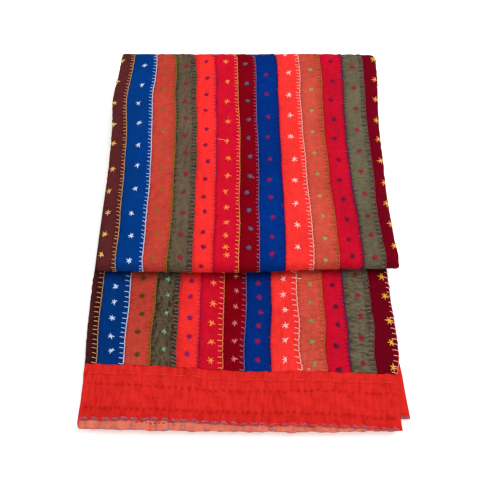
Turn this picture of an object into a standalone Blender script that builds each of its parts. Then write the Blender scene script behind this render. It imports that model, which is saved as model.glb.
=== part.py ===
"""Kantha quilt, folded in four lengthwise, then in half, with the folded end turned back over the front.

Metres, +Z up.  The origin lies on the floor under the middle of the folded stack.

The quilt is made of a pieced field, a border across each end and a backing that runs from hem to hem.
All four pieces follow one folded surface, and each is a thin sheet to one side of it:

* across the stack (X) the cloth makes one back-and-forth section of four plies.  From the free edge it
  runs: ply 3 to the right, inner right fold, ply 2 to the left, left fold, ply 1 to the right, outer right
  fold, ply 4 to the left.  Ply 1 shows.
* along the stack (Y) that section makes four runs: A, from the near hem to the back, then B back to the
  front fold, C to the back again over B, and D underneath everything to the far hem.
"""
import math

import bpy
import numpy as np

# ---- driving dimensions -------------------------------------------------------------------------------
CLOTH = 0.0010              # thickness of the field, of a border and of the backing
SEAM_GAP = 0.0003           # clearance between the backing and what it lies against
JOIN_GAP = 0.0007           # clearance between a border and the field along their seam
HALF_PLY = CLOTH + SEAM_GAP / 2
STRIP_CROWN = 0.0012        # how far the middle of a patchwork strip stands above its seams

LEFT_FOLD_REACH = 0.0040    # how far each crosswise fold bulges past the flat plies
INNER_FOLD_REACH = 0.0035
RIGHT_FOLD_REACH = 0.0080
PLY_3_SETBACK = 0.015       # free edges, as a share of the width, that stop short of the left fold
PLY_4_SETBACK = 0.025

STRAIGHT_Y = -0.2000        # from here to the back the quilt lies square to the stack
BEND_ASPECT = 0.80          # how far a lengthwise bend reaches, for each metre of its half height
STACK_MIDDLE_X = 0.00095    # middle of the folded stack, measured in the tables below
STACK_MIDDLE_Y = -0.00344

# ---- the four runs, bottom to top ---------------------------------------------------------------------
# pitch: height from one ply to the next.  gap: from this run's top ply to the next run's lowest ply.
# ply_1: whether the ply that shows faces up (+1) or down (-1).
RUNS = {
    #      pitch,  gap,    ply_1
    "D": (0.0042, 0.0046, -1),
    "A": (0.0045, 0.0050, +1),
    "B": (0.0060, 0.0055, -1),
    "C": (0.0063, 0.0, +1),
}

# ---- the outline of each run: y, left edge, right edge ------------------------------------------------
EDGES = {
    "A": ((-0.420, -0.2955, 0.2785), (-0.367, -0.2945, 0.2780), (-0.325, -0.2935, 0.2790),
          (-0.295, -0.2925, 0.2855), (-0.262, -0.2946, 0.2860), (-0.180, -0.2964, 0.2810),
          (-0.100, -0.2965, 0.2800), (0.382, -0.2870, 0.2860)),
    "B": ((-0.100, -0.2815, 0.2925), (0.382, -0.2830, 0.2900)),
    "C": ((-0.100, -0.2815, 0.2935), (-0.035, -0.2815, 0.2855), (0.110, -0.2800, 0.2850),
          (0.194, -0.2825, 0.2850), (0.279, -0.2885, 0.2895), (0.324, -0.2840, 0.2930),
          (0.382, -0.2810, 0.2945)),
    "D": ((-0.396, -0.2850, 0.2985), (-0.346, -0.2850, 0.2940), (-0.300, -0.2850, 0.2900),
          (-0.270, -0.2850, 0.2830), (0.382, -0.2820, 0.2880)),
}

# ---- lines across the stack, from its left edge (0) to its right edge (1) -----------------------------
# hem_1, hem_2: where plies 1 and 2 of run A end.  border: depth of the border there.
# front_fold, back_fold: where the plies start to turn at the front of runs B and C, and at the back.
ACROSS = {
    "share":      (0.0, 0.25, 0.50, 0.75, 1.0),
    "hem_1":      (-0.4001, -0.4009, -0.4085, -0.4111, -0.4178),
    "hem_2":      (-0.4147, -0.4198, -0.4223, -0.4214, -0.4189),
    "border":     (0.0982, 0.0944, 0.0929, 0.0945, 0.0967),
    "front_fold": (-0.1057, -0.1066, -0.1075, -0.1015, -0.1000),
    "back_fold":  (0.3855, 0.3830, 0.3820, 0.3825, 0.3800),
}
HEM_3_TUCK = 0.0050         # how far plies 3 and 4 draw back from the hem above, at the left
HEM_4_DROP = 0.0040
FAR_HEM_LEFT = -0.3850      # the far hem, under everything, runs askew too
FAR_HEM_RIGHT = -0.3957
FAR_BORDER = 0.0950

# ---- right-hand seam of each patchwork strip, as a share of the width ---------------------------------
STRIPS = (
    # name,             run A, run C
    ("maroon_brown",    0.035, 0.056),
    ("blue",            0.121, 0.139),
    ("terracotta",      0.206, 0.222),
    ("olive",           0.290, 0.305),
    ("orange_red",      0.358, 0.376),
    ("crimson",         0.441, 0.466),
    ("dark_red",        0.511, 0.536),
    ("second_blue",     0.598, 0.620),
    ("bright_red",      0.687, 0.715),
    ("rust",            0.767, 0.795),
    ("deep_crimson",    0.841, 0.872),
    ("grey_olive",      0.922, 0.951),
    ("maroon",          1.000, 1.000),
)

# ---- soft unevenness of the stack: height, wavelength across, wavelength along, phase -----------------
SWELLS = (
    (0.0022, 0.62, 0.74, 0.6),
    (0.0014, 0.45, 0.52, 2.3),
)
EDGE_DROOP = 0.0030         # how much the sides of the stack's top hang below its middle
HALF_WIDTH = 0.2850
HEM_SQUEEZE = 0.28          # the plies lie closer at the hems, by this share
HEM_SQUEEZE_Y = (-0.290, -0.390)
FRONT_STEP_Y = (-0.240, -0.140)     # the stack's top steps up here, from run A to run C

# ---- colours: linear red, green, blue -----------------------------------------------------------------
FIELD_RED = (0.56, 0.02, 0.03)
BORDER_RED = (0.68, 0.03, 0.02)
BACKING_CORAL = (0.78, 0.17, 0.10)
COTTON_ROUGHNESS = 0.9

# ---- how finely the folded surface is divided ---------------------------------------------------------
PLY_STEPS = 4               # spans across a ply that is hidden
FOLD_STEPS = 4              # spans around each crosswise fold
BEND_STEPS = 5              # spans around each lengthwise bend
ROWS = {                    # y of the rows between a run's bends
    "A": (STRAIGHT_Y, -0.130, 0.090),
    "B": (0.220, 0.050),
    "C": (-0.010, 0.090, 0.190, 0.290),
    "D": (0.190, 0.000, -0.190),
}


def smooth_step(value, start, end):
    """0 before start, 1 after end, and an S curve between them."""
    share = np.clip((value - start) / (end - start), 0.0, 1.0)
    return share * share * (3.0 - 2.0 * share)


def curve_through(places, values, wanted):
    """Values at the wanted places, on a smooth curve through a table's points.

    Between two points it is a cubic, whose slope at each point comes from the points beside it.
    """
    places = np.asarray(places)
    values = np.asarray(values)
    slopes = np.gradient(values, places)
    index = np.clip(np.searchsorted(places, wanted) - 1, 0, len(places) - 2)
    span = places[index + 1] - places[index]
    part = np.clip((wanted - places[index]) / span, 0.0, 1.0)
    rest = 1.0 - part
    ends = (1 + 2 * part) * rest ** 2 * values[index] + (1 + 2 * rest) * part ** 2 * values[index + 1]
    return ends + span * part * rest * (rest * slopes[index] - part * slopes[index + 1])


def run_bases():
    """Height of ply 4 above the lowest ply, for each run."""
    bases = {}
    top = 0.0
    for name, (pitch, gap, ply_1) in RUNS.items():
        bases[name] = top if ply_1 > 0 else top + 3 * pitch
        top += 3 * pitch + gap
    return bases


BASES = run_bases()
FULL_HEIGHT = BASES["C"] + 3 * RUNS["C"][0]
FRONT_HEIGHT = BASES["A"] + 3 * RUNS["A"][0]


class Section:
    """The back-and-forth section of four plies, one entry for each station along it.

    share: place across the stack.  level: 0 at ply 4 to 3 at ply 1.  bulge: metres past the flat plies.
    normal_x, normal_h: unit direction in which the pieced face looks, the cloth's left-hand side as one
    walks along the section.
    """

    def __init__(self):
        self.share = {run: [] for run in RUNS}
        self.level = []
        self.bulge = []
        self.normal_x = []
        self.normal_h = []
        self.crown = []
        even = np.linspace(0.0, 1.0, PLY_STEPS + 1)
        self.add_ply(1, +1, np.concatenate(([PLY_3_SETBACK], even[1:])))
        self.add_fold(1, 2, +1, INNER_FOLD_REACH)
        self.add_ply(2, -1, even[::-1])
        self.add_fold(2, 3, -1, LEFT_FOLD_REACH)
        self.add_top_ply()
        self.add_fold(3, 0, +1, RIGHT_FOLD_REACH)
        self.add_ply(0, -1, np.concatenate((even[:0:-1], [PLY_4_SETBACK])))
        self.share = {run: np.array(values) for run, values in self.share.items()}
        for field in ("level", "bulge", "normal_x", "normal_h", "crown"):
            setattr(self, field, np.array(getattr(self, field)))

    def add(self, shares, level, bulge, normal, crown=0.0):
        for run in RUNS:
            self.share[run].append(shares[run])
        self.level.append(level)
        self.bulge.append(bulge)
        self.normal_x.append(normal[0])
        self.normal_h.append(normal[1])
        self.crown.append(crown)

    def add_ply(self, level, heading, shares):
        for share in shares:
            self.add(dict.fromkeys(RUNS, share), level, 0.0, (0.0, heading))

    def add_top_ply(self):
        """Ply 1 has a station at every patchwork seam and a raised one in the middle of every strip."""
        before = (0.0, 0.0)
        self.add(dict.fromkeys(RUNS, 0.0), 3, 0.0, (0.0, 1.0))
        for name, in_a, in_c in STRIPS:
            for weight, crown in ((0.5, 1.0), (1.0, 0.0)):
                low = before[0] + weight * (in_a - before[0])
                high = before[1] + weight * (in_c - before[1])
                shares = {"A": low, "D": low, "B": high, "C": high}
                self.add(shares, 3, 0.0, (0.0, 1.0), crown)
            before = (in_a, in_c)

    def add_fold(self, start, end, side, reach):
        """A half turn on one side of the stack, without its two end stations."""
        rise = math.copysign(1.0, end - start)
        for step in range(1, FOLD_STEPS):
            turn = math.pi * step / FOLD_STEPS
            level = start + (end - start) * (1.0 - math.cos(turn)) / 2.0
            share = 1.0 if side > 0 else 0.0
            normal = (-rise * math.sin(turn), side * math.cos(turn))
            self.add(dict.fromkeys(RUNS, share), level, side * reach * math.sin(turn), normal)


SECTION = Section()


def across(column, share):
    """A line of the ACROSS table, read at a share of the width."""
    return curve_through(ACROSS["share"], ACROSS[column], share)


def near_hem(share, level):
    """Y of run A's hem: ply 1 and ply 2 from the table, and plies 3 and 4 tucked just behind ply 2."""
    hem_1 = across("hem_1", share)
    hem_2 = across("hem_2", share)
    hem_3 = hem_2 + HEM_3_TUCK * (1.0 - share)
    hem_4 = hem_1 - HEM_4_DROP * (1.0 - share)
    rows = np.array([hem_4, hem_3, hem_2, hem_1])
    below = np.clip(np.floor(level).astype(int), 0, 2)
    part = level - below
    here = np.arange(len(level))
    return rows[below, here] * (1.0 - part) + rows[below + 1, here] * part


def far_hem(share):
    """Y of run D's hem."""
    return FAR_HEM_LEFT + (FAR_HEM_RIGHT - FAR_HEM_LEFT) * share


def swell(x, y):
    """Height of the soft unevenness: a sum of slanted waves, with the sides hanging lower."""
    height = -EDGE_DROOP * (x / HALF_WIDTH) ** 4
    for size, wave_x, wave_y, phase in SWELLS:
        height = height + size * np.cos(2 * math.pi * (x / wave_x + y / wave_y) + phase)
    return height


def place_in_run(run, y, offset):
    """X and Z of every station where the section crosses a run at y, offset to the pieced side.

    A level stands its pitch above the last.  The plies close up towards the hems, and the swell grows
    with the square of the height, so that the lowest ply stays flat.
    """
    pitch, _, ply_1 = RUNS[run]
    table = np.array(EDGES[run])
    left = curve_through(table[:, 0], table[:, 1], y) + LEFT_FOLD_REACH + HALF_PLY
    right = curve_through(table[:, 0], table[:, 2], y) - RIGHT_FOLD_REACH - HALF_PLY
    x = left + (right - left) * SECTION.share[run] + SECTION.bulge
    height = BASES[run] + ply_1 * pitch * SECTION.level
    squeeze = 1.0 - HEM_SQUEEZE * smooth_step(y, *HEM_SQUEEZE_Y)
    top = FRONT_HEIGHT + (FULL_HEIGHT - FRONT_HEIGHT) * smooth_step(y, *FRONT_STEP_Y)
    level_z = HALF_PLY + height * squeeze + swell(x, y) * height ** 2 / (top * FULL_HEIGHT)
    crown = STRIP_CROWN * SECTION.crown if ply_1 > 0 else 0.0
    z = level_z + ply_1 * (SECTION.normal_h * offset + crown)
    return x + SECTION.normal_x * offset, z


def run_row(run, y, offset):
    """One row of points across a run, at one y or at a y for each station."""
    y = y * np.ones_like(SECTION.level)
    x, z = place_in_run(run, y, offset)
    return np.stack((x, y, z), axis=1)


def bend_rows(first, second, fold_y, facing, offset):
    """Rows around a bend from one run to another: half an ellipse between the two heights, bulging to
    the back (facing +1) or to the front (facing -1)."""
    x_1, z_1 = place_in_run(first, fold_y, offset)
    x_2, z_2 = place_in_run(second, fold_y, offset)
    half = (z_2 - z_1) / 2.0
    middle = (z_2 + z_1) / 2.0
    rows = []
    for step in range(BEND_STEPS + 1):
        turn = math.pi * step / BEND_STEPS - math.pi / 2.0
        part = (math.sin(turn) + 1.0) / 2.0
        x = x_1 + (x_2 - x_1) * part
        y = fold_y + facing * BEND_ASPECT * np.abs(half) * math.cos(turn)
        z = middle + half * math.sin(turn)
        rows.append(np.stack((x, y, z), axis=1))
    return rows


def folded_rows(offset, part):
    """Rows of points along the quilt, for one of its pieces, at an offset to the pieced side.

    part is field, near_border, far_border or backing.  The borders and the field leave a gap at their
    seams.
    """
    hem_a = near_hem(SECTION.share["A"], SECTION.level)
    seam_a = hem_a + across("border", SECTION.share["A"])
    hem_d = far_hem(SECTION.share["D"])
    seam_d = hem_d + FAR_BORDER
    front = across("front_fold", SECTION.share["C"])
    back = across("back_fold", SECTION.share["C"])
    gap = 0.0 if part == "backing" else JOIN_GAP / 2

    near = [run_row("A", hem_a, offset), run_row("A", (hem_a + seam_a) / 2, offset)]
    far = [run_row("D", (hem_d + seam_d) / 2, offset), run_row("D", hem_d, offset)]
    if part == "near_border":
        return near + [run_row("A", seam_a - gap, offset)]
    if part == "far_border":
        return [run_row("D", seam_d - gap, offset)] + far

    rows = [run_row("A", seam_a + gap, offset), run_row("A", (seam_a + STRAIGHT_Y) / 2, offset)]
    rows += [run_row("A", y, offset) for y in ROWS["A"]]
    rows += bend_rows("A", "B", back, +1, offset)
    rows += [run_row("B", y, offset) for y in ROWS["B"]]
    rows += bend_rows("B", "C", front, -1, offset)
    rows += [run_row("C", y, offset) for y in ROWS["C"]]
    rows += bend_rows("C", "D", back, +1, offset)
    rows += [run_row("D", y, offset) for y in ROWS["D"]]
    rows.append(run_row("D", seam_d + gap, offset))
    return rows if part == "field" else near + rows + far


def cotton(name, colour):
    material = bpy.data.materials.new(name)
    material.use_nodes = True
    shader = material.node_tree.nodes["Principled BSDF"]
    shader.inputs["Base Color"].default_value = (*colour, 1.0)
    shader.inputs["Roughness"].default_value = COTTON_ROUGHNESS
    shader.inputs["Metallic"].default_value = 0.0
    return material


def sheet(name, part, side, colour, collection):
    """One piece of cloth: the folded surface at the seam gap, thickened away from it.

    side +1 lies on the pieced side of the folded surface, and -1 on the backing side.
    """
    rows = np.array(folded_rows(side * SEAM_GAP / 2, part))
    rows -= (STACK_MIDDLE_X, STACK_MIDDLE_Y, 0.0)
    row_count, station_count = rows.shape[:2]
    index = np.arange(row_count * station_count).reshape(row_count, station_count)
    quads = np.stack((index[:-1, :-1], index[:-1, 1:], index[1:, 1:], index[1:, :-1]), axis=-1)
    mesh = bpy.data.meshes.new(name)
    mesh.from_pydata(rows.reshape(-1, 3).tolist(), [], quads.reshape(-1, 4).tolist())
    mesh.shade_smooth()
    mesh.materials.append(cotton(name + "_cotton", colour))
    piece = bpy.data.objects.new(name, mesh)
    collection.objects.link(piece)
    thickness = piece.modifiers.new("cloth thickness", "SOLIDIFY")
    thickness.thickness = CLOTH
    thickness.offset = side
    return piece


def build():
    for stray in list(bpy.data.objects):
        bpy.data.objects.remove(stray, do_unlink=True)
    quilt = bpy.data.collections.new("kantha_quilt")
    bpy.context.scene.collection.children.link(quilt)
    sheet("pieced_field", "field", +1, FIELD_RED, quilt)
    sheet("near_border", "near_border", +1, BORDER_RED, quilt)
    sheet("far_border", "far_border", +1, BORDER_RED, quilt)
    sheet("backing", "backing", -1, BACKING_CORAL, quilt)


build()
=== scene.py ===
"""A folded kantha quilt: its cloths, the blanket stitches along its seams, its stars and its hems.

The quilt is one folded surface.  A place on it is given by q, in metres across the quilt from the free
edge of ply 3, and by way, a count of stretches along the quilt from the near hem.  fold() turns the two
into a point in space:

* across the stack the cloth goes back and forth in four plies, and a half turn joins each to the next;
* along the stack that section makes four runs, A at the front, B over it, C over B and D underneath, and
  half an ellipse joins each run to the next.

Every cloth is a grid of such points, pushed out from the surface by a height that adds up the strip's
crown, its turned edge, soft wrinkles, the dents of the stitches and the dimples of the stars.  Every
stitch is a thin tube whose middle line lies on the same surface.
"""
import math
from collections import namedtuple

import bpy
import numpy as np
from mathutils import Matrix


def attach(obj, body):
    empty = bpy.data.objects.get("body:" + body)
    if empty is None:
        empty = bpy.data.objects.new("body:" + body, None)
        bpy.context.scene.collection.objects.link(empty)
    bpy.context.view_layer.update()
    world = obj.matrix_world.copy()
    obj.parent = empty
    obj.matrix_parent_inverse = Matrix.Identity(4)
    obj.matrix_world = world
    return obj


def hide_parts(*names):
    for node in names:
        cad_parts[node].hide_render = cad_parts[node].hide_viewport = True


bl_info = {
    "name": "Folded Kantha Quilt",
    "version": (1, 0, 0),
    "blender": (4, 5, 0),
    "location": "View3D > Sidebar > Quilt",
    "description": "A patchwork kantha quilt folded in a stack, with its blanket stitches and stars",
    "category": "Add Mesh",
}

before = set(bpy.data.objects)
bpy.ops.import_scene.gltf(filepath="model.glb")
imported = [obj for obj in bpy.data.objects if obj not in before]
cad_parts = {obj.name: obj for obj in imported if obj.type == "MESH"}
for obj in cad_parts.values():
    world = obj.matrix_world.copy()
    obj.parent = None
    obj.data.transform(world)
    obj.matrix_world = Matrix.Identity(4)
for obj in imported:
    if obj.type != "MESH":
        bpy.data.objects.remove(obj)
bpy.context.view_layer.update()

# ---- the folded stack, in metres ----------------------------------------------------------------------
SEAM_GAP = 0.0003
CLOTH = 0.0010
HALF_PLY = CLOTH + SEAM_GAP / 2
LEFT_FOLD_REACH = 0.0040
INNER_FOLD_REACH = 0.0035
RIGHT_FOLD_REACH = 0.0080
PLY_3_SETBACK = 0.015
PLY_4_SETBACK = 0.025
STRAIGHT_Y = -0.2000
FAR_STRAIGHT_Y = -0.1900
BEND_ASPECT = 0.80
CORNER_LEVELS = (0.1, 1.3)  # between these levels the outer right fold comes out to ply 1's front fold
CORNER_SHARE = 0.7          # and how much of the way there it comes
FRONT_FAN = 0.020           # how much wider the stack is at the underside of its front fold
FRONT_FAN_Y = (0.060, -0.100)
STACK_MIDDLE = (0.00095, -0.00344, 0.0)

# pitch from ply to ply, gap to the next run, and whether ply 1 is the top one (+1) or the lowest (-1)
Run = namedtuple("Run", "pitch gap ply_1")
RUNS = {
    "D": Run(0.0042, 0.0046, -1),
    "A": Run(0.0045, 0.0050, +1),
    "B": Run(0.0060, 0.0055, -1),
    "C": Run(0.0063, 0.0, +1),
}
# y, left edge, right edge
EDGES = {
    "A": ((-0.420, -0.2955, 0.2785), (-0.367, -0.2945, 0.2780), (-0.325, -0.2935, 0.2790),
          (-0.295, -0.2925, 0.2855), (-0.262, -0.2946, 0.2860), (-0.180, -0.2964, 0.2810),
          (-0.100, -0.2965, 0.2800), (0.382, -0.2870, 0.2860)),
    "B": ((-0.100, -0.2815, 0.2925), (0.382, -0.2830, 0.2900)),
    "C": ((-0.100, -0.2815, 0.2935), (-0.035, -0.2815, 0.2855), (0.110, -0.2800, 0.2850),
          (0.194, -0.2825, 0.2850), (0.279, -0.2885, 0.2895), (0.324, -0.2840, 0.2930),
          (0.382, -0.2810, 0.2945)),
    "D": ((-0.396, -0.2850, 0.2985), (-0.346, -0.2850, 0.2940), (-0.300, -0.2850, 0.2900),
          (-0.270, -0.2850, 0.2830), (0.382, -0.2820, 0.2880)),
}
# lines across the stack, from its left edge (0) to its right edge (1)
ACROSS = {
    "share":      (0.0, 0.25, 0.50, 0.75, 1.0),
    "hem_1":      (-0.4001, -0.4009, -0.4085, -0.4111, -0.4178),
    "hem_2":      (-0.4147, -0.4182, -0.4200, -0.4210, -0.4189),
    "border":     (0.0982, 0.0944, 0.0929, 0.0945, 0.0967),
    "front_fold": (-0.1088, -0.1102, -0.1108, -0.1048, -0.1034),
    "back_fold":  (0.3855, 0.3830, 0.3820, 0.3825, 0.3800),
}
# height, length and phase of the waves in the near hems
HEM_1_WAVES = ((0.0006, 0.017, 0.0), (0.0007, 0.0071, 2.0))
HEM_2_WAVE = (0.0005, 0.023, 1.0)
HEM_3_TUCK = 0.0050
HEM_4_DROP = 0.0040
FAR_HEM_LEFT = -0.3850
FAR_HEM_RIGHT = -0.3957
FAR_BORDER = 0.0950
# height, wavelength across, wavelength along, phase
SWELLS = (
    (0.0022, 0.62, 0.74, 0.6),
    (0.0014, 0.45, 0.52, 2.3),
)
EDGE_DROOP = 0.0030
HALF_WIDTH = 0.2850
HEM_SQUEEZE = 0.28
HEM_SQUEEZE_Y = (-0.290, -0.390)
FRONT_STEP_Y = (-0.240, -0.140)

# ---- the stretches along the quilt: a run between two lines, or a bend from one run to the next -------
Stretch = namedtuple("Stretch", "run end_run start end facing")
STRETCHES = (
    Stretch("A", None, "near_hem", "near_seam", 0),
    Stretch("A", None, "near_seam", "straight", 0),
    Stretch("A", None, "straight", "back_fold", 0),
    Stretch("A", "B", "back_fold", None, +1),
    Stretch("B", None, "back_fold", "front_fold", 0),
    Stretch("B", "C", "front_fold", None, -1),
    Stretch("C", None, "front_fold", "back_fold", 0),
    Stretch("C", "D", "back_fold", None, +1),
    Stretch("D", None, "back_fold", "far_straight", 0),
    Stretch("D", None, "far_straight", "far_seam", 0),
    Stretch("D", None, "far_seam", "far_hem", 0),
)
NEAR_SEAM_WAY = 1.0
STRAIGHT_WAY = 2.0
A_ENDS = 3.0                # run A reaches the back fold, and run B starts behind it
B_STARTS = 4.0
B_ENDS = 5.0                # run B reaches the front fold
FRONT_WAY = 6.0             # run C leaves the front fold
C_ENDS = 7.0
D_STARTS = 8.0
FAR_SEAM_WAY = 10.0
LAST_WAY = 11.0

# ---- the section across the quilt: nominal widths of its plies and folds ------------------------------
PLY = 0.5560
INNER_FOLD = 0.0100
LEFT_FOLD = 0.0110
RIGHT_FOLD = 0.0260
SECTION_ENDS = np.cumsum((0.0, PLY, INNER_FOLD, PLY, LEFT_FOLD, PLY, RIGHT_FOLD, PLY))
# q of the two ends of each part, from the free edge of ply 3 to that of ply 4
PLY_3_Q, INNER_FOLD_Q, PLY_2_Q, LEFT_FOLD_Q, PLY_1_Q, RIGHT_FOLD_Q, PLY_4_Q = zip(
    SECTION_ENDS, SECTION_ENDS[1:])
TOP_LEFT, TOP_RIGHT = PLY_1_Q   # ply 1 is the one that shows
FREE_EDGES = (PLY_3_SETBACK * PLY, PLY_4_Q[1] - PLY_4_SETBACK * PLY)

# ---- the patchwork ------------------------------------------------------------------------------------
# The strips' widths are given at ten lines, four on run A and six on run C, each with its way.
WIDTH_WAYS = (1.00, 1.14, 1.83, 2.12, 6.00, 6.16, 6.32, 6.53, 6.73, 7.00)
# Rough: how crumpled a cloth is.  Below: how light it is on the lower panel, against the upper one.
# In millimetres: widths at those lines; on the upper panel and on the lower one, the spacing of the
# blanket stitches and the length of their teeth; the radii of a tooth and of the thread along the seam;
# and the radius of a motif above and below.  The motifs' places are y of the one nearest the front fold,
# the step to the next, and how much longer each step is than the last.
Strip = namedtuple("Strip", "name cloth rough below widths thread spacing tooth thread_radius "
                            "upper upper_radius upper_colour lower lower_radius lower_colour")
STRIPS = (
    Strip("maroon_brown", "5D2728", 0.6, 0.60, (15, 15, 15, 15, 29, 31, 29, 26, 25, 23),
          "E6B46E", (8.4, 10.0), (7.6, 10.5), (0.55, 0.60),
          (-107, 45.6, 1.9), 6.3, "E6BE64", (-122, -43.5, 0.0), 7.0, "F0BE3C"),
    Strip("blue", "003A83", 0.35, 0.80, (49.5, 49.5, 51.5, 52.5, 52.5, 52.5, 53.5, 54.5, 54.5, 51.5),
          "DCE6FF", (9.2, 10.8), (7.4, 10.4), (0.55, 0.85),
          (-119, 51.4, 0.4), 6.2, "D2E1FF", (-150, -33.0, 0.0), 6.2, "C8DCFF"),
    Strip("terracotta", "C34436", 0.55, 0.97,
          (46.5, 46.5, 47.5, 51.5, 45.5, 49.5, 49.5, 49.5, 49.5, 43.5),
          "857514", (9.0, 9.0), (5.5, 6.5), (0.60, 1.00),
          (-115, 50.3, 0.0), 4.9, "8E641E", (-134, -37.0, 0.0), 5.6, "4A3A03"),
    Strip("olive", "6C5F4A", 1.0, 0.86, (48.5, 48, 48, 44, 47, 46, 45, 45, 46, 43),
          "8A6462", (8.4, 7.8), (9.5, 10.0), (0.72, 0.40),
          (-108, 45.3, 0.3), 5.7, "96162E", (-137, -35.0, 0.0), 5.9, "7CB090"),
    Strip("orange_red", "F5312E", 0.3, 0.94, (41, 40.5, 39.5, 40.5, 40.5, 39.5, 40.5, 42.5, 41.5, 44.5),
          "9C0E50", (8.5, 8.0), (6.0, 6.5), (0.50, 0.80),
          (-125, 35.0, 1.2), 5.1, "800642", (-137, -37.0, 0.0), 5.5, "84105E"),
    Strip("crimson", "D0102B", 0.35, 0.90, (45, 43.5, 44.5, 44.5, 47, 48, 49, 48, 48, 48),
          "FFA05F", (8.8, 10.6), (7.4, 10.0), (0.65, 0.65),
          (-110, 21.4, 3.45), 6.8, "FF903E", (-147, -38.0, 0.0), 6.9, "FF9040"),
    Strip("dark_red", "7E0010", 0.35, 1.05, (40, 39.5, 41.5, 41.5, 39.5, 39.5, 38.5, 38.5, 38.5, 39.5),
          "A08CBE", (8.6, 11.2), (6.0, 8.6), (0.38, 0.40),
          (-88, 37.3, 1.8), 5.1, "4C5E80", (-127, -33.0, 0.0), 6.1, "D77476"),
    Strip("second_blue", "002F81", 0.45, 0.92, (47.5, 47.5, 45.5, 47.5, 49, 49, 48, 47, 46, 48),
          "280864", (9.0, 9.0), (6.5, 6.5), (0.65, 1.15),
          (-108, 38.5, 2.7), 5.5, "8C084F", (-142, -30.0, 0.0), 5.5, "940850"),
    Strip("bright_red", "F33531", 0.3, 1.04, (56.5, 54, 53, 49, 52.5, 53.5, 51.5, 48.5, 48.5, 49.5),
          "FFB4A5", (8.8, 11.2), (8.4, 10.4), (0.70, 1.15),
          (-92, 47.8, 1.6), 7.0, "FFCDC3", (-137, -31.0, 0.0), 6.6, "FFC6BC"),
    Strip("rust", "CD503F", 0.65, 1.12, (47, 47.5, 47, 48, 48.5, 47.5, 44.5, 46.5, 46.5, 46.5),
          "BE7332", (8.5, 7.2), (9.0, 8.5), (0.60, 0.75),
          (-121, 44.7, 1.9), 5.2, "A2965F", (-144, -40.0, 0.0), 5.5, "8F9054"),
    Strip("deep_crimson", "C40E2A", 0.35, 1.03, (43.5, 43, 41, 41, 46, 44, 46, 45, 45, 50),
          "500A50", (9.0, 8.0), (6.5, 7.0), (0.72, 0.95),
          (-119, 41.5, 1.7), 5.6, "600336", (-147.5, -40.8, 0.0), 5.7, "540331"),
    Strip("grey_olive", "6B654F", 0.9, 1.08, (46, 45, 51, 49, 42, 41, 46, 47, 48, 45),
          "8C6666", (9.4, 8.5), (8.5, 10.0), (0.70, 0.40),
          (-116, 45.5, 1.8), 5.6, "94182A", (-129, -41.0, -1.6), 5.7, "960F26"),
    Strip("maroon", "720118", 0.35, 0.86, (36, 42, 40, 43, 43, 41, 41, 44, 45, 50),
          "FFBEB4", (10.0, 10.0), (9.0, 11.0), (0.60, 0.50),
          (-86, 45.6, 1.6), 7.4, "F0AF3C", (-129, -45.0, 0.0), 8.0, "F0B23C"),
)
INNER_STRIP_WIDTH = 0.0462      # strips of the hidden plies
MAROON_BROWN_WRAP = 0.0160      # how far the first strip reaches onto ply 2
MAROON_BROWN_STARS = (0.0248, 0.0330)   # from that strip's right seam to its stars, above and below
MAROON_STARS = 0.0290           # from the last strip's left seam to its stars on the lower panel
ASIDE = 0.0018                  # from a strip's middle to its motifs on the lower panel, to the right


# ---- settings that a user may change ------------------------------------------------------------------
def linear(code):
    """Linear red, green and blue of a six digit colour code."""
    value = np.array([int(code[start:start + 2], 16) for start in (0, 2, 4)]) / 255.0
    return tuple(np.where(value <= 0.04045, value / 12.92, ((value + 0.055) / 1.055) ** 2.4))


def length_setting(name, description, default):
    return bpy.props.FloatProperty(name=name, description=description, default=default, min=0.0,
                                   subtype="DISTANCE", unit="LENGTH", precision=5)


def colour_setting(name, description, code):
    return bpy.props.FloatVectorProperty(name=name, description=description, default=linear(code),
                                         min=0.0, max=1.0, size=3, subtype="COLOR")


class QuiltSizes(bpy.types.PropertyGroup):
    """Sizes of the sewing and of the cloth's relief."""

    cloth: length_setting("Cloth", "Thickness of one cotton cloth", 0.0006)
    crown: length_setting("Strip crown", "How far a strip's middle stands above its seams", 0.0012)
    lap: length_setting("Seam lap", "How far a strip's turned edge stands on the next strip", 0.0004)
    wrinkle: length_setting("Wrinkles", "Height of the wrinkles of a smooth strip", 0.0009)
    pucker: length_setting("Puckers", "Depth of the dents under the stitches", 0.0006)
    border_pucker: length_setting("Border puckers", "Height of the borders' waves", 0.0006)
    fine_thread: length_setting("Fine thread", "Radius of the running stitches' thread", 0.00045)
    thread: bpy.props.FloatProperty(name="Embroidery thread", default=1.0, min=0.2, max=2.0,
                                    description="Thickness of the embroidery thread, 1 as it was sewn")


class QuiltColours(bpy.types.PropertyGroup):
    """Colours of the cloths and of the threads."""

    __annotations__ = {
        **{strip.name: colour_setting(strip.name.replace("_", " ").capitalize(), "Cotton of this strip",
                                      strip.cloth) for strip in STRIPS},
        **{strip.name + "_thread": colour_setting(strip.name.replace("_", " ").capitalize() + " thread",
                                                  "Blanket stitches on this strip's right seam",
                                                  strip.thread) for strip in STRIPS},
        "border": colour_setting("Border", "Cotton of the borders", "D82823"),
        "backing": colour_setting("Backing", "Cotton of the backing", "E37A64"),
        "border_thread": colour_setting("Border thread", "Running stitches on the borders", "B41010"),
        "seam_thread": colour_setting("Seam thread", "Long stitches beside the border's seam", "DE504A"),
        "hem_thread": colour_setting("Hem thread", "Stitches along the hems", "847C98"),
        "floor": colour_setting("Floor", "The floor under the quilt", "F4F3F0"),
    }


# ---- the folded surface -------------------------------------------------------------------------------
def unit(value):
    """The value, held between 0 and 1."""
    return np.clip(value, 0.0, 1.0)


def smooth_step(value, start, end):
    """0 before start, 1 after end, and an S curve between them."""
    share = unit((value - start) / (end - start))
    return share * share * (3.0 - 2.0 * share)


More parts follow.
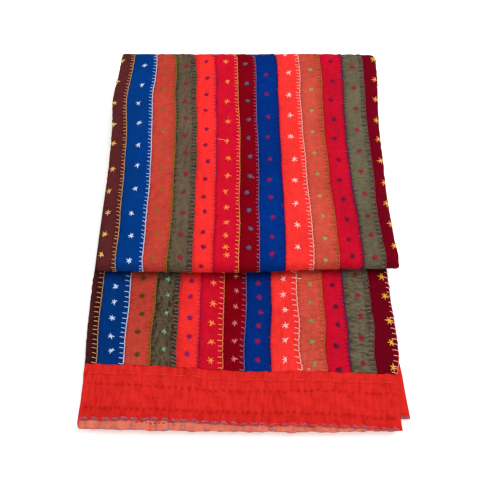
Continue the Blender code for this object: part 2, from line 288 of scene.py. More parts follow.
def bell(distance, width):
    """1 at no distance, and falling on both sides, to e to the power of -1 at the width."""
    return np.exp(-(distance / width) ** 2)


def wander(along, *waves):
    """The sum of waves along a line, each given as its height, its length over 2 pi and its phase."""
    return sum(size * np.sin(along / length + phase) for size, length, phase in waves)


def curve_through(places, values, wanted):
    """Values at the wanted places, on a smooth curve through a table's points.

    Between two points it is a cubic, whose slope at each point comes from the points beside it.
    """
    places = np.asarray(places)
    values = np.asarray(values)
    slopes = np.gradient(values, places)
    index = np.clip(np.searchsorted(places, wanted) - 1, 0, len(places) - 2)
    span = places[index + 1] - places[index]
    part = unit((wanted - places[index]) / span)
    rest = 1.0 - part
    ends = (1 + 2 * part) * rest ** 2 * values[index] + (1 + 2 * rest) * part ** 2 * values[index + 1]
    return ends + span * part * rest * (rest * slopes[index] - part * slopes[index + 1])


def run_bases():
    """Height of ply 4 above the lowest ply, for each run."""
    bases = {}
    top = 0.0
    for name, run in RUNS.items():
        bases[name] = top if run.ply_1 > 0 else top + 3 * run.pitch
        top += 3 * run.pitch + run.gap
    return bases


BASES = run_bases()
FULL_HEIGHT = BASES["C"] + 3 * RUNS["C"].pitch
FRONT_HEIGHT = BASES["A"] + 3 * RUNS["A"].pitch
FRONT_REACH = (FULL_HEIGHT - BASES["B"] + 3 * RUNS["B"].pitch) / 2  # half height of ply 1's front fold

# parts of the section: level at its start and end, heading or side, and how far its fold bulges
SECTION_PARTS = np.array((
    (1, 1, +1, 0.0), (1, 2, +1, INNER_FOLD_REACH), (2, 2, -1, 0.0), (2, 3, -1, LEFT_FOLD_REACH),
    (3, 3, +1, 0.0), (3, 0, +1, RIGHT_FOLD_REACH), (0, 0, -1, 0.0),
)).T


def section(q):
    """Where q falls on the section: share of the width, level, bulge, and the pieced side's normal.

    On a ply the share goes evenly from one side to the other.  Round a fold the angle goes evenly from 0
    to half a turn, the level follows its cosine and the bulge its sine.
    """
    index = np.clip(np.searchsorted(SECTION_ENDS, q, side="right") - 1, 0, len(SECTION_ENDS) - 2)
    part = unit((q - SECTION_ENDS[index]) / np.diff(SECTION_ENDS)[index])
    start, end, side, reach = SECTION_PARTS[:, index]
    turn = np.where(start == end, 0.0, math.pi * part)
    share = np.where(start == end, np.where(side > 0, part, 1.0 - part), (1.0 + side) / 2.0)
    level = start + (end - start) * (1.0 - np.cos(turn)) / 2.0
    bulge = side * reach * np.sin(turn)
    return share, level, bulge, -np.sign(end - start) * np.sin(turn), side * np.cos(turn)


def across(column, share):
    """A line of the ACROSS table, read at a share of the width."""
    return curve_through(ACROSS["share"], ACROSS[column], share)


def line_y(line, share, level):
    """Y of a line across the stack.  A level between two plies is given the y between theirs."""
    if line in ("front_fold", "back_fold"):
        return across(line, share)
    if line == "straight":
        return np.full_like(share, STRAIGHT_Y)
    if line == "far_straight":
        return np.full_like(share, FAR_STRAIGHT_Y)
    if line in ("far_hem", "far_seam"):
        hem = FAR_HEM_LEFT + (FAR_HEM_RIGHT - FAR_HEM_LEFT) * share
        return hem + (FAR_BORDER if line == "far_seam" else 0.0)
    uneven = wander(share, *HEM_1_WAVES)
    hem_1 = across("hem_1", share) + uneven
    hem_2 = across("hem_2", share) + wander(share, HEM_2_WAVE) - uneven
    rows = (hem_1 - HEM_4_DROP * (1.0 - share), hem_2 + HEM_3_TUCK * (1.0 - share), hem_2, hem_1)
    hem = sum(row * np.maximum(0.0, 1.0 - np.abs(level - number)) for number, row in enumerate(rows))
    return hem + (across("border", share) if line == "near_seam" else 0.0)


def swell(x, y):
    """Height of the soft unevenness: a sum of slanted waves, with the sides hanging lower."""
    height = -EDGE_DROOP * (x / HALF_WIDTH) ** 4
    for size, wave_x, wave_y, phase in SWELLS:
        height = height + size * np.cos(2 * math.pi * (x / wave_x + y / wave_y) + phase)
    return height


def place_in_run(run, y, spot, offset):
    """X and Z of a spot of the section in a run at y, pushed out by offset on the pieced side."""
    share, level, bulge, normal_x, normal_h = spot
    pitch, _, ply_1 = RUNS[run]
    table = np.array(EDGES[run])
    left = curve_through(table[:, 0], table[:, 1], y) + LEFT_FOLD_REACH + HALF_PLY
    right = curve_through(table[:, 0], table[:, 2], y) - RIGHT_FOLD_REACH - HALF_PLY
    x = left + (right - left) * share + bulge
    height = BASES[run] + ply_1 * pitch * level
    squeeze = 1.0 - HEM_SQUEEZE * smooth_step(y, *HEM_SQUEEZE_Y)
    top = FRONT_HEIGHT + (FULL_HEIGHT - FRONT_HEIGHT) * smooth_step(y, *FRONT_STEP_Y)
    z = HALF_PLY + height * squeeze + swell(x, y) * height ** 2 / (top * FULL_HEIGHT)
    return x + normal_x * offset, z + ply_1 * normal_h * offset


def fold(way, q, offset):
    """Points of the folded quilt.

    In a run, y goes evenly from the stretch's first line to its last.  Round a bend, the angle goes
    evenly through half a turn: z follows its sine between the heights in the two runs, and y reaches out
    of the fold line with its cosine.  The front fold spreads a little towards its underside.
    """
    way, q, offset = np.broadcast_arrays(np.asarray(way, float), np.asarray(q, float),
                                         np.asarray(offset, float))
    points = np.empty(way.shape + (3,))
    index = np.clip(np.floor(way).astype(int), 0, len(STRETCHES) - 1)
    for number, stretch in enumerate(STRETCHES):
        here = index == number
        if not here.any():
            continue
        part = way[here] - number
        spot = section(q[here])
        start = line_y(stretch.start, *spot[:2])
        if stretch.end_run is None:
            y = start + part * (line_y(stretch.end, *spot[:2]) - start)
            x, z = place_in_run(stretch.run, y, spot, offset[here])
            if stretch.end == "front_fold":
                x = x * (1.0 + FRONT_FAN * smooth_step(y, *FRONT_FAN_Y))
        else:
            x_1, z_1 = place_in_run(stretch.run, start, spot, offset[here])
            x_2, z_2 = place_in_run(stretch.end_run, start, spot, offset[here])
            turn = math.pi * (part - 0.5)
            half = (z_2 - z_1) / 2.0
            x = x_1 + (x_2 - x_1) * (np.sin(turn) + 1.0) / 2.0
            reach = np.abs(half)
            if stretch.start == "front_fold":
                x = x * (1.0 + FRONT_FAN * (1.0 - np.sin(turn)) / 2.0)
                corner = CORNER_SHARE * smooth_step(spot[1], *CORNER_LEVELS) * (q[here] > TOP_RIGHT)
                reach = reach + corner * (FRONT_REACH + offset[here] - reach)
            y = start + stretch.facing * BEND_ASPECT * reach * np.cos(turn)
            z = (z_1 + z_2) / 2.0 + half * np.sin(turn)
        points[here] = np.stack((x, y, z), axis=-1)
    return points - STACK_MIDDLE


# metres along the middle of ply 1, for each way
WAY_TABLE = np.linspace(0.0, LAST_WAY, 881)
ALONG_TABLE = np.concatenate(((0.0,), np.cumsum(np.linalg.norm(
    np.diff(fold(WAY_TABLE, (TOP_LEFT + TOP_RIGHT) / 2, 0.0), axis=0), axis=1))))


def metres(way):
    """Metres from the near hem to a way."""
    return np.interp(way, WAY_TABLE, ALONG_TABLE)


def way_at(along):
    """The way that lies so many metres from the near hem."""
    return np.interp(along, ALONG_TABLE, WAY_TABLE)


def rows_between(first, last, spacing):
    """Ways from first to last, evenly spaced in metres."""
    start, end = metres(first), metres(last)
    return way_at(np.linspace(start, end, max(2, int(round((end - start) / spacing)) + 1)))


def joined(*pieces):
    """Runs of ways or of q joined in one rising line, each shared place kept once."""
    line = np.unique(np.round(np.concatenate(pieces), 7))
    return line[np.concatenate(((True,), np.diff(line) > 1e-4))]


# ---- the strips' seams --------------------------------------------------------------------------------
# Q of the right seams at each way.  Run A's last widths hold up to the back fold, run C's first ones
# come in along run B, and its last ones hold to the far hem.
SEAM_WAYS = np.array((*WIDTH_WAYS[:4], A_ENDS, 4.7, B_ENDS, 5.9, *WIDTH_WAYS[4:], LAST_WAY))
SEAMS = TOP_LEFT + np.cumsum([strip.widths for strip in STRIPS], axis=0).T / 1000.0
SEAMS = SEAMS[[0, 1, 2, 3, 3, 4, 4, 4, 4, 5, 6, 7, 8, 9, 9]]
# ways, and how much of ply 1 shows at each; it changes evenly from one to the next
SEEN = ((0.0, 1), (2.11, 1), (2.145, 0), (5.02, 0), (5.30, 1), (7.70, 1), (7.98, 0), (LAST_WAY, 0))


def seam(number, way):
    """Q of a strip's right seam.  Number -1 is the left seam of the first strip."""
    if number < 0:
        return np.full_like(np.asarray(way, float), PLY_2_Q[1] - MAROON_BROWN_WRAP)
    uneven = wander(metres(way), (0.0006, 0.041, 2.3 * number), (0.0004, 0.017, 1.1 * number))
    return curve_through(SEAM_WAYS, SEAMS[:, number], way) + uneven * seen(way)


def seen(way):
    """1 where ply 1 shows, 0 where the stack covers it or it lies on the floor."""
    return np.interp(way, *zip(*SEEN))


def by_panel(way, upper, lower):
    """One value on the upper panel's runs and the other on the lower panel's."""
    return np.where(way < B_STARTS, lower, upper)


def on_top(q):
    """1 on ply 1, and fading to 0 round the folds at its sides."""
    return smooth_step(q, TOP_LEFT - LEFT_FOLD, TOP_LEFT - 0.3 * LEFT_FOLD) \
        * (1.0 - smooth_step(q, TOP_RIGHT + 0.3 * RIGHT_FOLD, TOP_RIGHT + RIGHT_FOLD))


# ---- where the stitches and the motifs lie ------------------------------------------------------------
LOWER_STITCHES = (1.02, 2.135)  # the ways that a panel's blanket stitches run between
UPPER_STITCHES = (5.14, 7.86)
STITCH_WANDER = 0.08            # how far one strays, in their spacing
MOTIFS_TRIED = 20               # places stepped through on a panel, of which those on it are kept
UPPER_MOTIFS_END = (0.42, 7.8)  # y and way that limit a panel's motifs
LOWER_MOTIFS_END = (-0.36, 2.13)
SEAM_TO_MOTIF = 0.006           # the least from the border's seam to a motif
MOTIF_WANDER = 0.0014           # how far a motif strays across its strip
MOTIF_STRAY = 1.6               # and how many times as far along it
# distance of each row of running stitches from the border's seam, their pitch and their length
BORDER_ROWS = ((0.0350, 0.0122, 0.0042), (0.0735, 0.0116, 0.0050))
ALLOWANCE = 0.0150              # width of the seam allowance, which shows through the border
SEAM_ROW = (ALLOWANCE - 0.0006, 0.0310, 0.0230)


def stitch_ways(number):
    """Ways of a seam's blanket stitches, a little uneven, where ply 1 shows."""
    random = np.random.default_rng(40 + number)
    ways = []
    upper, lower = STRIPS[number].spacing
    for panel, spacing in ((LOWER_STITCHES, lower), (UPPER_STITCHES, upper)):
        along = np.arange(*metres(panel), spacing / 1000.0)
        ways.append(way_at(along + random.normal(0.0, STITCH_WANDER * spacing / 1000.0, len(along))))
    return np.concatenate(ways)


def motif_places(number):
    """Way and q of a strip's motifs, on the upper panel and on the lower one, down its middle.

    They step away from the front fold, and each step is a little longer than the last.
    """
    strip = STRIPS[number]
    random = np.random.default_rng(80 + number)
    panels = []
    for lower, (first, step, grow) in enumerate((strip.upper, strip.lower)):
        count = np.arange(MOTIFS_TRIED)
        y = (first + step * count + grow * count * (count - 1) / 2) / 1000.0
        if lower:
            y = y[y > LOWER_MOTIFS_END[0]]
            share = np.full_like(y, (number + 0.5) / len(STRIPS))
            near = line_y("near_seam", share, np.full_like(y, 3.0))
            way = np.where(y < STRAIGHT_Y, NEAR_SEAM_WAY + (y - near) / (STRAIGHT_Y - near),
                           STRAIGHT_WAY + (y - STRAIGHT_Y) / (across("back_fold", share) - STRAIGHT_Y))
            way = way[(y - near > SEAM_TO_MOTIF) & (way < LOWER_MOTIFS_END[1])]
        else:
            way = way_at(metres(FRONT_WAY) + y[y < UPPER_MOTIFS_END[0]] - across("front_fold", 0.5))
            way = way[way < UPPER_MOTIFS_END[1]]
        middle = (seam(number - 1, way) + seam(number, way)) / 2
        if number == 0:
            middle = seam(0, way) - MAROON_BROWN_STARS[lower]
        elif lower and strip.name == "maroon":
            middle = seam(number - 1, way) + MAROON_STARS
        elif lower and number > 2:
            middle = middle + ASIDE
        uneven = random.normal(0.0, MOTIF_WANDER, (2, len(way)))
        panels.append((way_at(metres(way) + MOTIF_STRAY * uneven[0]), middle + uneven[1]))
    return panels


# ---- relief of the cloths -----------------------------------------------------------------------------
# Lengths of the wrinkles' waves, across and along: soft ones, those drawn in by a seam, the crumple of a
# rough strip, lengthwise on the olive one and crosswise on the others, and those of the borders and the
# backing.
SOFT_WAVES = (0.034, 0.030)
DRAWN_WAVES = (0.060, 0.0085)
LONG_RUMPLE = (0.0105, 0.00035 / 0.0105)
CROSS_RUMPLE = (0.0300, 0.00035 / 0.0300)
FINE_BORDER_WAVES = (0.009, 0.085)
BROAD_BORDER_WAVES = (0.040, 0.050)
BACKING_WAVES = (0.020, 0.030)
BACKING_WAVE_HEIGHT = 0.0004
CROWN_POWER = 2.2
LAP_REACH = 0.0045              # how far from the right seam the lap reaches
TUCK_REACH = 0.0025             # and the tuck from the left one
TUCK = 0.6                      # depth of the tuck, in laps
GATHER_REACH = (0.011, 0.013)   # of the drawn wrinkles, from the left seam and the right one
DENT_REACH = 0.0023             # along the seam, of the dent at a blanket stitch
NOTCH_REACH = 0.0026            # along the seam, of the painted shade at the dent that a stitch leaves on the strip behind it
NOTCH = (0.0040, 0.0032)        # that painted shade's place from the seam and its reach
MOTIF_DIMPLE = 0.9              # depth of a motif's dimple, in puckers
MOTIF_RIM = (1.6, 0.5)          # place and reach of the rim round it, in radii
DIMPLE_SIZE = (0.0036, 0.0025)  # reach of a running stitch's dimple, across and along
BORDER_SINK = 0.0008            # how deep a border's dimples may go
ALLOWANCE_STEP = 0.0005


def ripples(q, along, seed, wave_q, wave_along):
    """Soft wrinkles from about -1 to 1: a mean of twelve slanted waves.

    Each has its own lengths across and along, within half and twice the ones given.
    """
    random = np.random.default_rng(seed)
    total = np.zeros(np.broadcast(q, along).shape)
    for _ in range(12):
        across_wave = wave_q * 2.0 ** random.uniform(-1, 1) * random.choice((-1, 1))
        along_wave = wave_along * 2.0 ** random.uniform(-1, 1)
        total += np.sin(2 * math.pi * (q / across_wave + along / along_wave) + random.uniform(0, 7))
    return total / 3.5


def dents(along, stitches, width):
    """1 at each stitch's place along a seam, falling to 0 over the width on both sides of it."""
    return bell(np.abs(along[..., None] - stitches).min(axis=-1), width)


def crumple_share(way):
    """How crumpled a strip is along the quilt: fully near the near hem, less on top of the stack."""
    return by_panel(way, 0.35, 1.0)


def motif_dimples(number, along, q):
    """Depth of the dimples round a strip's motifs, up to about 1, with a low rim round each."""
    strip = STRIPS[number]
    depth = np.zeros_like(along)
    for panel, radius in zip(motif_places(number), (strip.upper_radius, strip.lower_radius)):
        for motif_way, motif_q in zip(*panel):
            distance = np.hypot(along - metres(motif_way), q - motif_q) / (radius / 1000.0)
            depth += bell(distance, 0.8) - 0.35 * bell(distance - MOTIF_RIM[0], MOTIF_RIM[1])
    return MOTIF_DIMPLE * depth


def strip_relief(number, way, q, sizes):
    """Height of a strip's outer face above the plain cloth, and the painted shade of each place.

    Height = crown, a rounded arch from seam to seam
           + the lap at the right seam - a tuck at the left seam
           + wrinkles - a dent at every blanket stitch - a dimple at every motif.
    """
    strip = STRIPS[number]
    along = metres(way)
    left, right = seam(number - 1, way), seam(number, way)
    if number == 0:
        left = np.full_like(left, TOP_LEFT - LEFT_FOLD)
    from_left, from_right = q - left, right - q
    arch = 1.0 - np.abs(2.0 * unit(from_left / (right - left)) - 1.0) ** CROWN_POWER
    lap = bell(np.maximum(from_right, 0.0), LAP_REACH) - TUCK * (
        bell(np.maximum(from_left, 0.0), TUCK_REACH) + smooth_step(-from_right, -0.0006, 0.0003))

    crumpled = unit(2.0 * strip.rough - 1.0)
    inside = smooth_step(from_left, 0.0, 0.005) * smooth_step(from_right, 0.0, 0.005)
    gather = bell(from_right, GATHER_REACH[1]) + 0.7 * bell(from_left, GATHER_REACH[0])
    soft = ripples(q, along, 7 + number, *SOFT_WAVES)
    drawn = ripples(q, along, 27 + number, *DRAWN_WAVES) * gather
    rumple = ripples(q, along, 57 + number, *(LONG_RUMPLE if strip.name == "olive" else CROSS_RUMPLE)) \
        * inside * crumpled * crumple_share(way)
    wrinkles = 0.45 * soft + (0.32 + 0.5 * crumpled) * drawn + 0.9 * rumple

    teeth = dents(along, metres(stitch_ways(number)), DENT_REACH)
    reach = 1.0 - smooth_step(from_right / (by_panel(way, *strip.tooth) / 1000.0), 0.8, 1.3)
    pulled = reach * (0.45 - teeth)
    notch_shade = 0.0
    if number > 0:
        behind = dents(along, metres(stitch_ways(number - 1)), NOTCH_REACH)
        notch_shade = behind * bell(from_left - NOTCH[0], NOTCH[1])
        pulled += 0.7 * bell(from_left, 0.006) * (0.3 - behind)

    dimples = motif_dimples(number, along, q)
    # Painted shade, 0 to 1: between the blanket stitches' teeth on the first strip and the crumpled
    # ones, at the dents behind the left seam's stitches, round the motifs, in the troughs of the drawn
    # and crumpled wrinkles, and in a band along each seam
    between = by_panel(way, 0.3, 0.8) if number == 0 else 0.9 * crumpled
    hollow = between * reach * (1.0 - teeth) + 0.6 * crumpled * notch_shade \
        + (0.35 + 0.3 * crumpled) * np.clip(dimples, 0.0, 0.9) \
        + (0.3 + 0.4 * crumpled) * unit(-drawn) + 0.6 * unit(-rumple) \
        + (0.55 - 0.15 * crumpled) * bell(from_left, 0.0036) + 0.25 * bell(from_right, 0.0025)
    height = sizes.crown * arch + sizes.lap * lap + sizes.wrinkle * wrinkles \
        + sizes.pucker * (pulled - dimples)
    weight = seen(way) * on_top(q)
    return height * weight, unit(hollow) * weight


def row_stitches(row, pitch):
    """Q and drift from the row's line, for each running stitch of a row."""
    random = np.random.default_rng(int(row * 1e4))
    start = np.arange(TOP_LEFT + 0.004, TOP_RIGHT + 0.004, pitch)
    start = start + random.normal(0.0, 0.0009, len(start))
    return start, wander(start, (0.0018, 0.07, 30 * row)) + random.normal(0.0, 0.0006, len(start))


def border_relief(way, q, seam_way, sizes):
    """Height of a border, and the painted shade of each place.

    Height = the step of the seam allowance + broad and fine waves - a dimple at each running stitch.
    """
    along = metres(way)
    from_seam = np.abs(metres(seam_way) - along)
    fine = ripples(q, along, 5, *FINE_BORDER_WAVES)
    broad = ripples(q, along, 6, *BROAD_BORDER_WAVES)
    dimples = np.zeros_like(along)
    for row, pitch, length in BORDER_ROWS:
        for start, drift in zip(*row_stitches(row, pitch)):
            near = np.abs(q[0] - start) < 0.012
            dimples[:, near] += bell(q[:, near] - start - length / 2, DIMPLE_SIZE[0]) \
                * bell(from_seam[:, near] - row - drift, DIMPLE_SIZE[1])
    below = smooth_step(from_seam, 0.066, 0.076)
    step = 1.0 - smooth_step(from_seam, ALLOWANCE - 0.0008, ALLOWANCE + 0.0012)
    height = sizes.border_pucker * (0.7 * fine * (1.0 + 0.4 * below) + 0.8 * broad - 1.1 * dimples)
    height = np.maximum(height, -BORDER_SINK) + ALLOWANCE_STEP * step
    # Painted shade: in the troughs of the fine and broad waves, in the running stitches' dimples, a
    # little more from the second row towards the hem, and in a line just past the seam allowance's step
    hollow = 0.22 * unit(-fine) + 0.25 * unit(-broad) + 0.42 * dimples + 0.12 * below \
        + 0.25 * bell(from_seam - ALLOWANCE - 0.0018, 0.0014)
    weight = seen(way) * on_top(q)
    return height * weight, unit(hollow) * weight


# ---- materials ----------------------------------------------------------------------------------------
# Each noise has its bumps a metre and how it is drawn out.  Clouds have their strength too, and crumples
# their detail and depth.  Creases are waves, each with its direction, its pitch in metres and how the
# noise that breaks it up is drawn out.
CLOUDS = ((16.0, (1.0, 2.0, 1.0), 1.0), (85.0, (1.0, 1.4, 1.0), 0.8), (260.0, (1.0, 1.2, 1.0), 0.5))
CLOUD_TINT = (0.66, 0.60, 0.62, 1.0)
STREAKS = ((900.0, (1.0, 30.0, 1.0)), (700.0, (26.0, 1.0, 1.0)))
STREAK_SHARE = 0.15
STREAK_TINT = (0.62, 0.62, 0.62, 1.0)
CREASES = (("X", 0.0110, (1.0, 2.5, 1.0)), ("Y", 0.0075, (2.0, 1.0, 1.0)))
# depth of the painted shade in the crease lines, and how deep they are as a bump
CREASE_SHADOW = 0.42
CREASE_DEPTH = 0.0008
CRUMPLES = ((240.0, (1.0, 1.5, 1.0), 3.0, 0.0010), (75.0, (1.0, 1.3, 1.0), 2.0, 0.0028))
WEAVE_PITCH = 0.00080
WEAVE_DEPTH = 0.00022
# threads: darkening by a stitch's tone, and the painted shade in the grooves of a thread's twist
TONE_TINT = (0.66, 0.62, 0.66, 1.0)
TWIST_SHADE = (0.82, 0.78, 0.80, 1.0)


class Nodes:
    """Adds nodes to a new material's tree, each with its inputs set or linked by name."""

    def __init__(self, name):
        self.material = bpy.data.materials.new(name)
        self.material.use_nodes = True
        self.tree = self.material.node_tree

    def put(self, node, inputs):
        for socket, value in inputs.items():
            if isinstance(value, bpy.types.NodeSocket):
                self.tree.links.new(value, node.inputs[socket])
            else:
                node.inputs[socket].default_value = value

    def add(self, kind, inputs, **settings):
        node = self.tree.nodes.new("ShaderNode" + kind)
        for setting, value in settings.items():
            setattr(node, setting, value)
        self.put(node, inputs)
        return node

    def surface(self, inputs):
        """The finished material, with these inputs of its shader."""
        self.put(self.tree.nodes["Principled BSDF"], inputs)
        return self.material

    def math(self, operation, first, second=0.0, third=0.0):
        return self.add("Math", {0: first, 1: second, 2: third}, operation=operation).outputs[0]

    def shade(self, factor, colour, tint):
        """The colour, multiplied by a tint where the factor is 1."""
        return self.add("Mix", {0: factor, 6: colour, 7: tint},
                        data_type="RGBA", blend_type="MULTIPLY").outputs[2]

    def map(self, name):
        return self.add("UVMap", {}, uv_map=name).outputs[0]

    def attribute(self, name, output="Fac"):
        return self.add("Attribute", {}, attribute_name=name).outputs[output]

    def noise(self, vector, scale, stretch, detail=2.0):
        """Noise from 0 to 1, with scale bumps a metre, drawn out by dividing through stretch."""
        mapped = self.add("Mapping", {"Vector": vector, "Scale": [1.0 / part for part in stretch]})
        return self.add("TexNoise", {"Vector": mapped.outputs[0], "Scale": scale,
                                     "Detail": detail}).outputs["Fac"]

    def bands(self, vector, direction, pitch, **inputs):
        """A wave from 0 to 1, with the given pitch."""
        return self.add("TexWave", {"Vector": vector, "Scale": 2 * math.pi / (20 * pitch), **inputs},
                        wave_type="BANDS", bands_direction=direction).outputs["Fac"]

    def between(self, value, low, high):
        """0 where the value is low or beyond it, 1 where it is high or beyond it."""
        return self.add("MapRange", {"Value": value, "From Min": low, "From Max": high}).outputs[0]

    def bump(self, height, strength=1.0, distance=1.0):
        return self.add("Bump", {"Strength": strength, "Distance": distance,
                                 "Height": height}).outputs[0]


def crease_lines(nodes, cloth, axis, pitch, stretch):
    """0 to 1: the narrow troughs of a bent wave, which come and go with a noise."""
    wave = nodes.bands(cloth, axis, pitch, **{"Distortion": 7.0, "Detail": 2.0, "Detail Scale": 1.6})
    return nodes.math("MULTIPLY", nodes.between(wave, 0.30, 0.0),
                      nodes.between(nodes.noise(cloth, 48.0, stretch), 0.42, 0.56))


def shadow_tint(colour, depth):
    """A shadow's tint on a cloth: light that bounces in a crease takes on more of the cloth's colour."""
    colour = np.array(colour)
    return (*(depth * (colour / colour.max()) ** 0.35), 1.0)


def cotton(name, colour, mottling=0.30, shadow=0.60, crumple=1.0, creased=(0.0, 0.0), dye=False):
    """Plain woven cotton.

    Colour = cloth colour times how light the cloth is there, made darker by cloudy patches of three
    sizes, by thin streaks along the threads, and by painted shade in the shadow tint, in the hollows
    and in the creases, lengthwise and crosswise.
    Height = a chequer of crossed waves, one thread each, and noise of two sizes for a crumple finer than
    the mesh, less the creases.
    """
    nodes = Nodes(name)
    cloth = nodes.map("cloth")
    shown = nodes.attribute("dye", "Color") if dye else (*colour, 1.0)
    shown = nodes.shade(1.0, shown, nodes.attribute("light", "Color"))
    for scale, stretch, share in CLOUDS:
        patches = nodes.between(nodes.noise(cloth, scale, stretch, 3.0), 0.35, 0.65)
        shown = nodes.shade(nodes.math("MULTIPLY", patches, share * mottling), shown, CLOUD_TINT)
    streaks = [nodes.math("MULTIPLY", nodes.noise(cloth, *streak), STREAK_SHARE) for streak in STREAKS]
    shown = nodes.shade(nodes.math("ADD", *streaks), shown, STREAK_TINT)
    # Painted shade: the shadow tint wherever the mesh marks hollows, creases, dimples and seams
    shown = nodes.shade(nodes.attribute("hollow"), shown, shadow_tint(colour, shadow))

    waves = [nodes.math("SUBTRACT", nodes.bands(cloth, axis, WEAVE_PITCH), 0.5) for axis in "XY"]
    height = nodes.math("MULTIPLY", nodes.math("MULTIPLY", *waves), WEAVE_DEPTH)
    for *noise, depth in CRUMPLES:
        height = nodes.math("MULTIPLY_ADD", nodes.noise(cloth, *noise), depth * crumple, height)
    crumpled = nodes.attribute("crumple")
    for share, crease in zip(creased, CREASES):
        if share:
            line = nodes.math("MULTIPLY", crease_lines(nodes, cloth, *crease), crumpled)
            line = nodes.math("MULTIPLY", line, share)
            # Painted shade along the crease lines
            shown = nodes.shade(line, shown, shadow_tint(colour, CREASE_SHADOW))
            height = nodes.math("MULTIPLY_ADD", line, -CREASE_DEPTH, height)
    return nodes.surface({"Base Color": shown, "Normal": nodes.bump(height),
                          "Roughness": 0.92, "Specular IOR Level": 0.03})


def embroidery(name, colour):
    """Twisted cotton thread: its colour varied by each stitch's tone, painted shade in the grooves of
    the twist, and a bump that winds round it.

    The map holds the turns of the twist along the thread, and the turn round it, so their sum winds.
    """
    nodes = Nodes(name + "_thread")
    twist = nodes.bands(nodes.map("thread"), "DIAGONAL", 0.5)
    shown = nodes.shade(nodes.attribute("tone"), (*colour, 1.0), TONE_TINT)
    # Painted shade in the grooves of the twist
    shown = nodes.shade(nodes.math("SUBTRACT", 1.0, twist), shown, TWIST_SHADE)
    return nodes.surface({"Base Color": shown, "Normal": nodes.bump(twist, 0.8, 0.0002),
                          "Roughness": 0.65, "Specular IOR Level": 0.15})


# ---- meshes -------------------------------------------------------------------------------------------
THREAD_SIDES = 6
THREAD_FLATNESS = 0.75
TWIST = 0.0022                  # metres of thread for one turn of its twist
LIGHT_WAYS = (3.5, 2.5)         # where a cloth's light turns from the upper panel's to the lower's


def new_object(name, mesh, material):
    mesh.materials.append(material)
    mesh.polygons.foreach_set("use_smooth", np.ones(len(mesh.polygons), dtype=bool))
    piece = bpy.data.objects.new(name, mesh)
    bpy.context.scene.collection.objects.link(piece)
    return piece


def set_attribute(mesh, name, values, kind="FLOAT", domain="POINT"):
    field = "value" if kind == "FLOAT" else "color"
    mesh.attributes.new(name, kind, domain).data.foreach_set(field, np.ravel(values).astype(np.float32))


def cloth_sheet(name, node, way, q, relief, material, sizes,
                side=1, dye=None, below=1.0):
    """A cloth as a grid of places on the folded surface, thickened towards the middle of the ply.

    Side is +1 on the pieced side and -1 on the backing side.  Relief is the cloth's height on top of
    half a ply, and the painted shade of each place.  Below is how light it is on the lower panel.
    """
    way, q = np.broadcast_arrays(way, q)
    height, hollow = relief
    points = fold(way, q, side * (HALF_PLY + height))
    rows, columns = way.shape
    index = np.arange(rows * columns).reshape(rows, columns)
    corners = [index[:-1, :-1], index[:-1, 1:], index[1:, 1:], index[1:, :-1]][::side]
    quads = np.stack(corners, axis=-1).reshape(-1, 4)
    mesh = bpy.data.meshes.new(name)
    mesh.from_pydata(points.reshape(-1, 3), [], quads)
    flat_map = np.stack((q, metres(way)), axis=-1).reshape(-1, 2)
    mesh.uv_layers.new(name="cloth").data.foreach_set("uv", flat_map[quads.ravel()].ravel())
    set_attribute(mesh, "hollow", np.broadcast_to(hollow, way.shape))
    set_attribute(mesh, "crumple", crumple_share(way))
    set_attribute(mesh, "light", 1.0 + (below - 1.0) * smooth_step(way, *LIGHT_WAYS))
    if dye is not None:
        set_attribute(mesh, "dye", dye.reshape(-1, 4), "FLOAT_COLOR", "FACE")
    piece = new_object(name, mesh, material)
    thickness = piece.modifiers.new("cloth", "SOLIDIFY")
    thickness.thickness = sizes.cloth
    thickness.offset = -1.0
    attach(piece, "root")
    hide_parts(node)


def threads(name, way, q, lift, radius, tone, material, slot="pieced_cotton", side=1):
    """Stitches as tubes: way, q, lift and radius hold (stitches, points) of their middle lines.

    Lift stands on top of half a ply, and side is +1 on the pieced side and -1 on the backing side.
    Every ring is an ellipse across the line, flattened on the cloth, and the two ends are closed.
    """
    centre = fold(way, q, side * (HALF_PLY + lift))
    up = fold(way, q, side * (HALF_PLY + lift + 0.0005)) - centre
    along = np.gradient(centre, axis=1)
    along /= np.linalg.norm(along, axis=-1, keepdims=True)
    across_line = np.cross(along, up)
    across_line /= np.linalg.norm(across_line, axis=-1, keepdims=True)
    up = THREAD_FLATNESS * np.cross(across_line, along)
    turn = 2 * math.pi * np.arange(THREAD_SIDES)[:, None] / THREAD_SIDES
    ring = np.cos(turn) * across_line[:, :, None] + np.sin(turn) * up[:, :, None]
    points = centre[:, :, None] + radius[:, :, None, None] * ring

    stitches, rings = way.shape
    index = np.arange(points[..., 0].size).reshape(stitches, rings, THREAD_SIDES)
    turned = np.roll(index, -1, axis=2)
    quads = np.stack((index[:, :-1], index[:, 1:], turned[:, 1:], turned[:, :-1]), axis=-1)
    caps = np.concatenate((index[:, 0], index[:, -1, ::-1]))
    mesh = bpy.data.meshes.new(name)
    mesh.from_pydata(points.reshape(-1, 3), [], quads.reshape(-1, 4).tolist() + caps.tolist())

    steps = np.linalg.norm(np.diff(centre, axis=1), axis=-1)
    turns = np.concatenate((np.zeros((stitches, 1)), np.cumsum(steps, axis=1)), axis=1) / TWIST
    low = np.broadcast_to(turns[:, :-1, None], (stitches, rings - 1, THREAD_SIDES))
    high = np.broadcast_to(turns[:, 1:, None], low.shape)
    near = np.broadcast_to(np.arange(THREAD_SIDES) / THREAD_SIDES, low.shape)
    far = near + 1.0 / THREAD_SIDES
    quad_map = np.stack((low, near, high, near, high, far, low, far), axis=-1).ravel()
    cap_map = np.zeros(caps.size * 2)
    mesh.uv_layers.new(name="thread").data.foreach_set("uv", np.concatenate((quad_map, cap_map)))
    set_attribute(mesh, "tone", np.broadcast_to(tone[:, None, None], index.shape))
    piece = new_object(name, mesh, material)
    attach(piece, "root")


def taper(part, radius):
    """Radii along a stitch: full in the middle and drawn in at the two ends."""
    return radius * (1.0 - 0.55 * np.abs(2.0 * part - 1.0) ** 5)


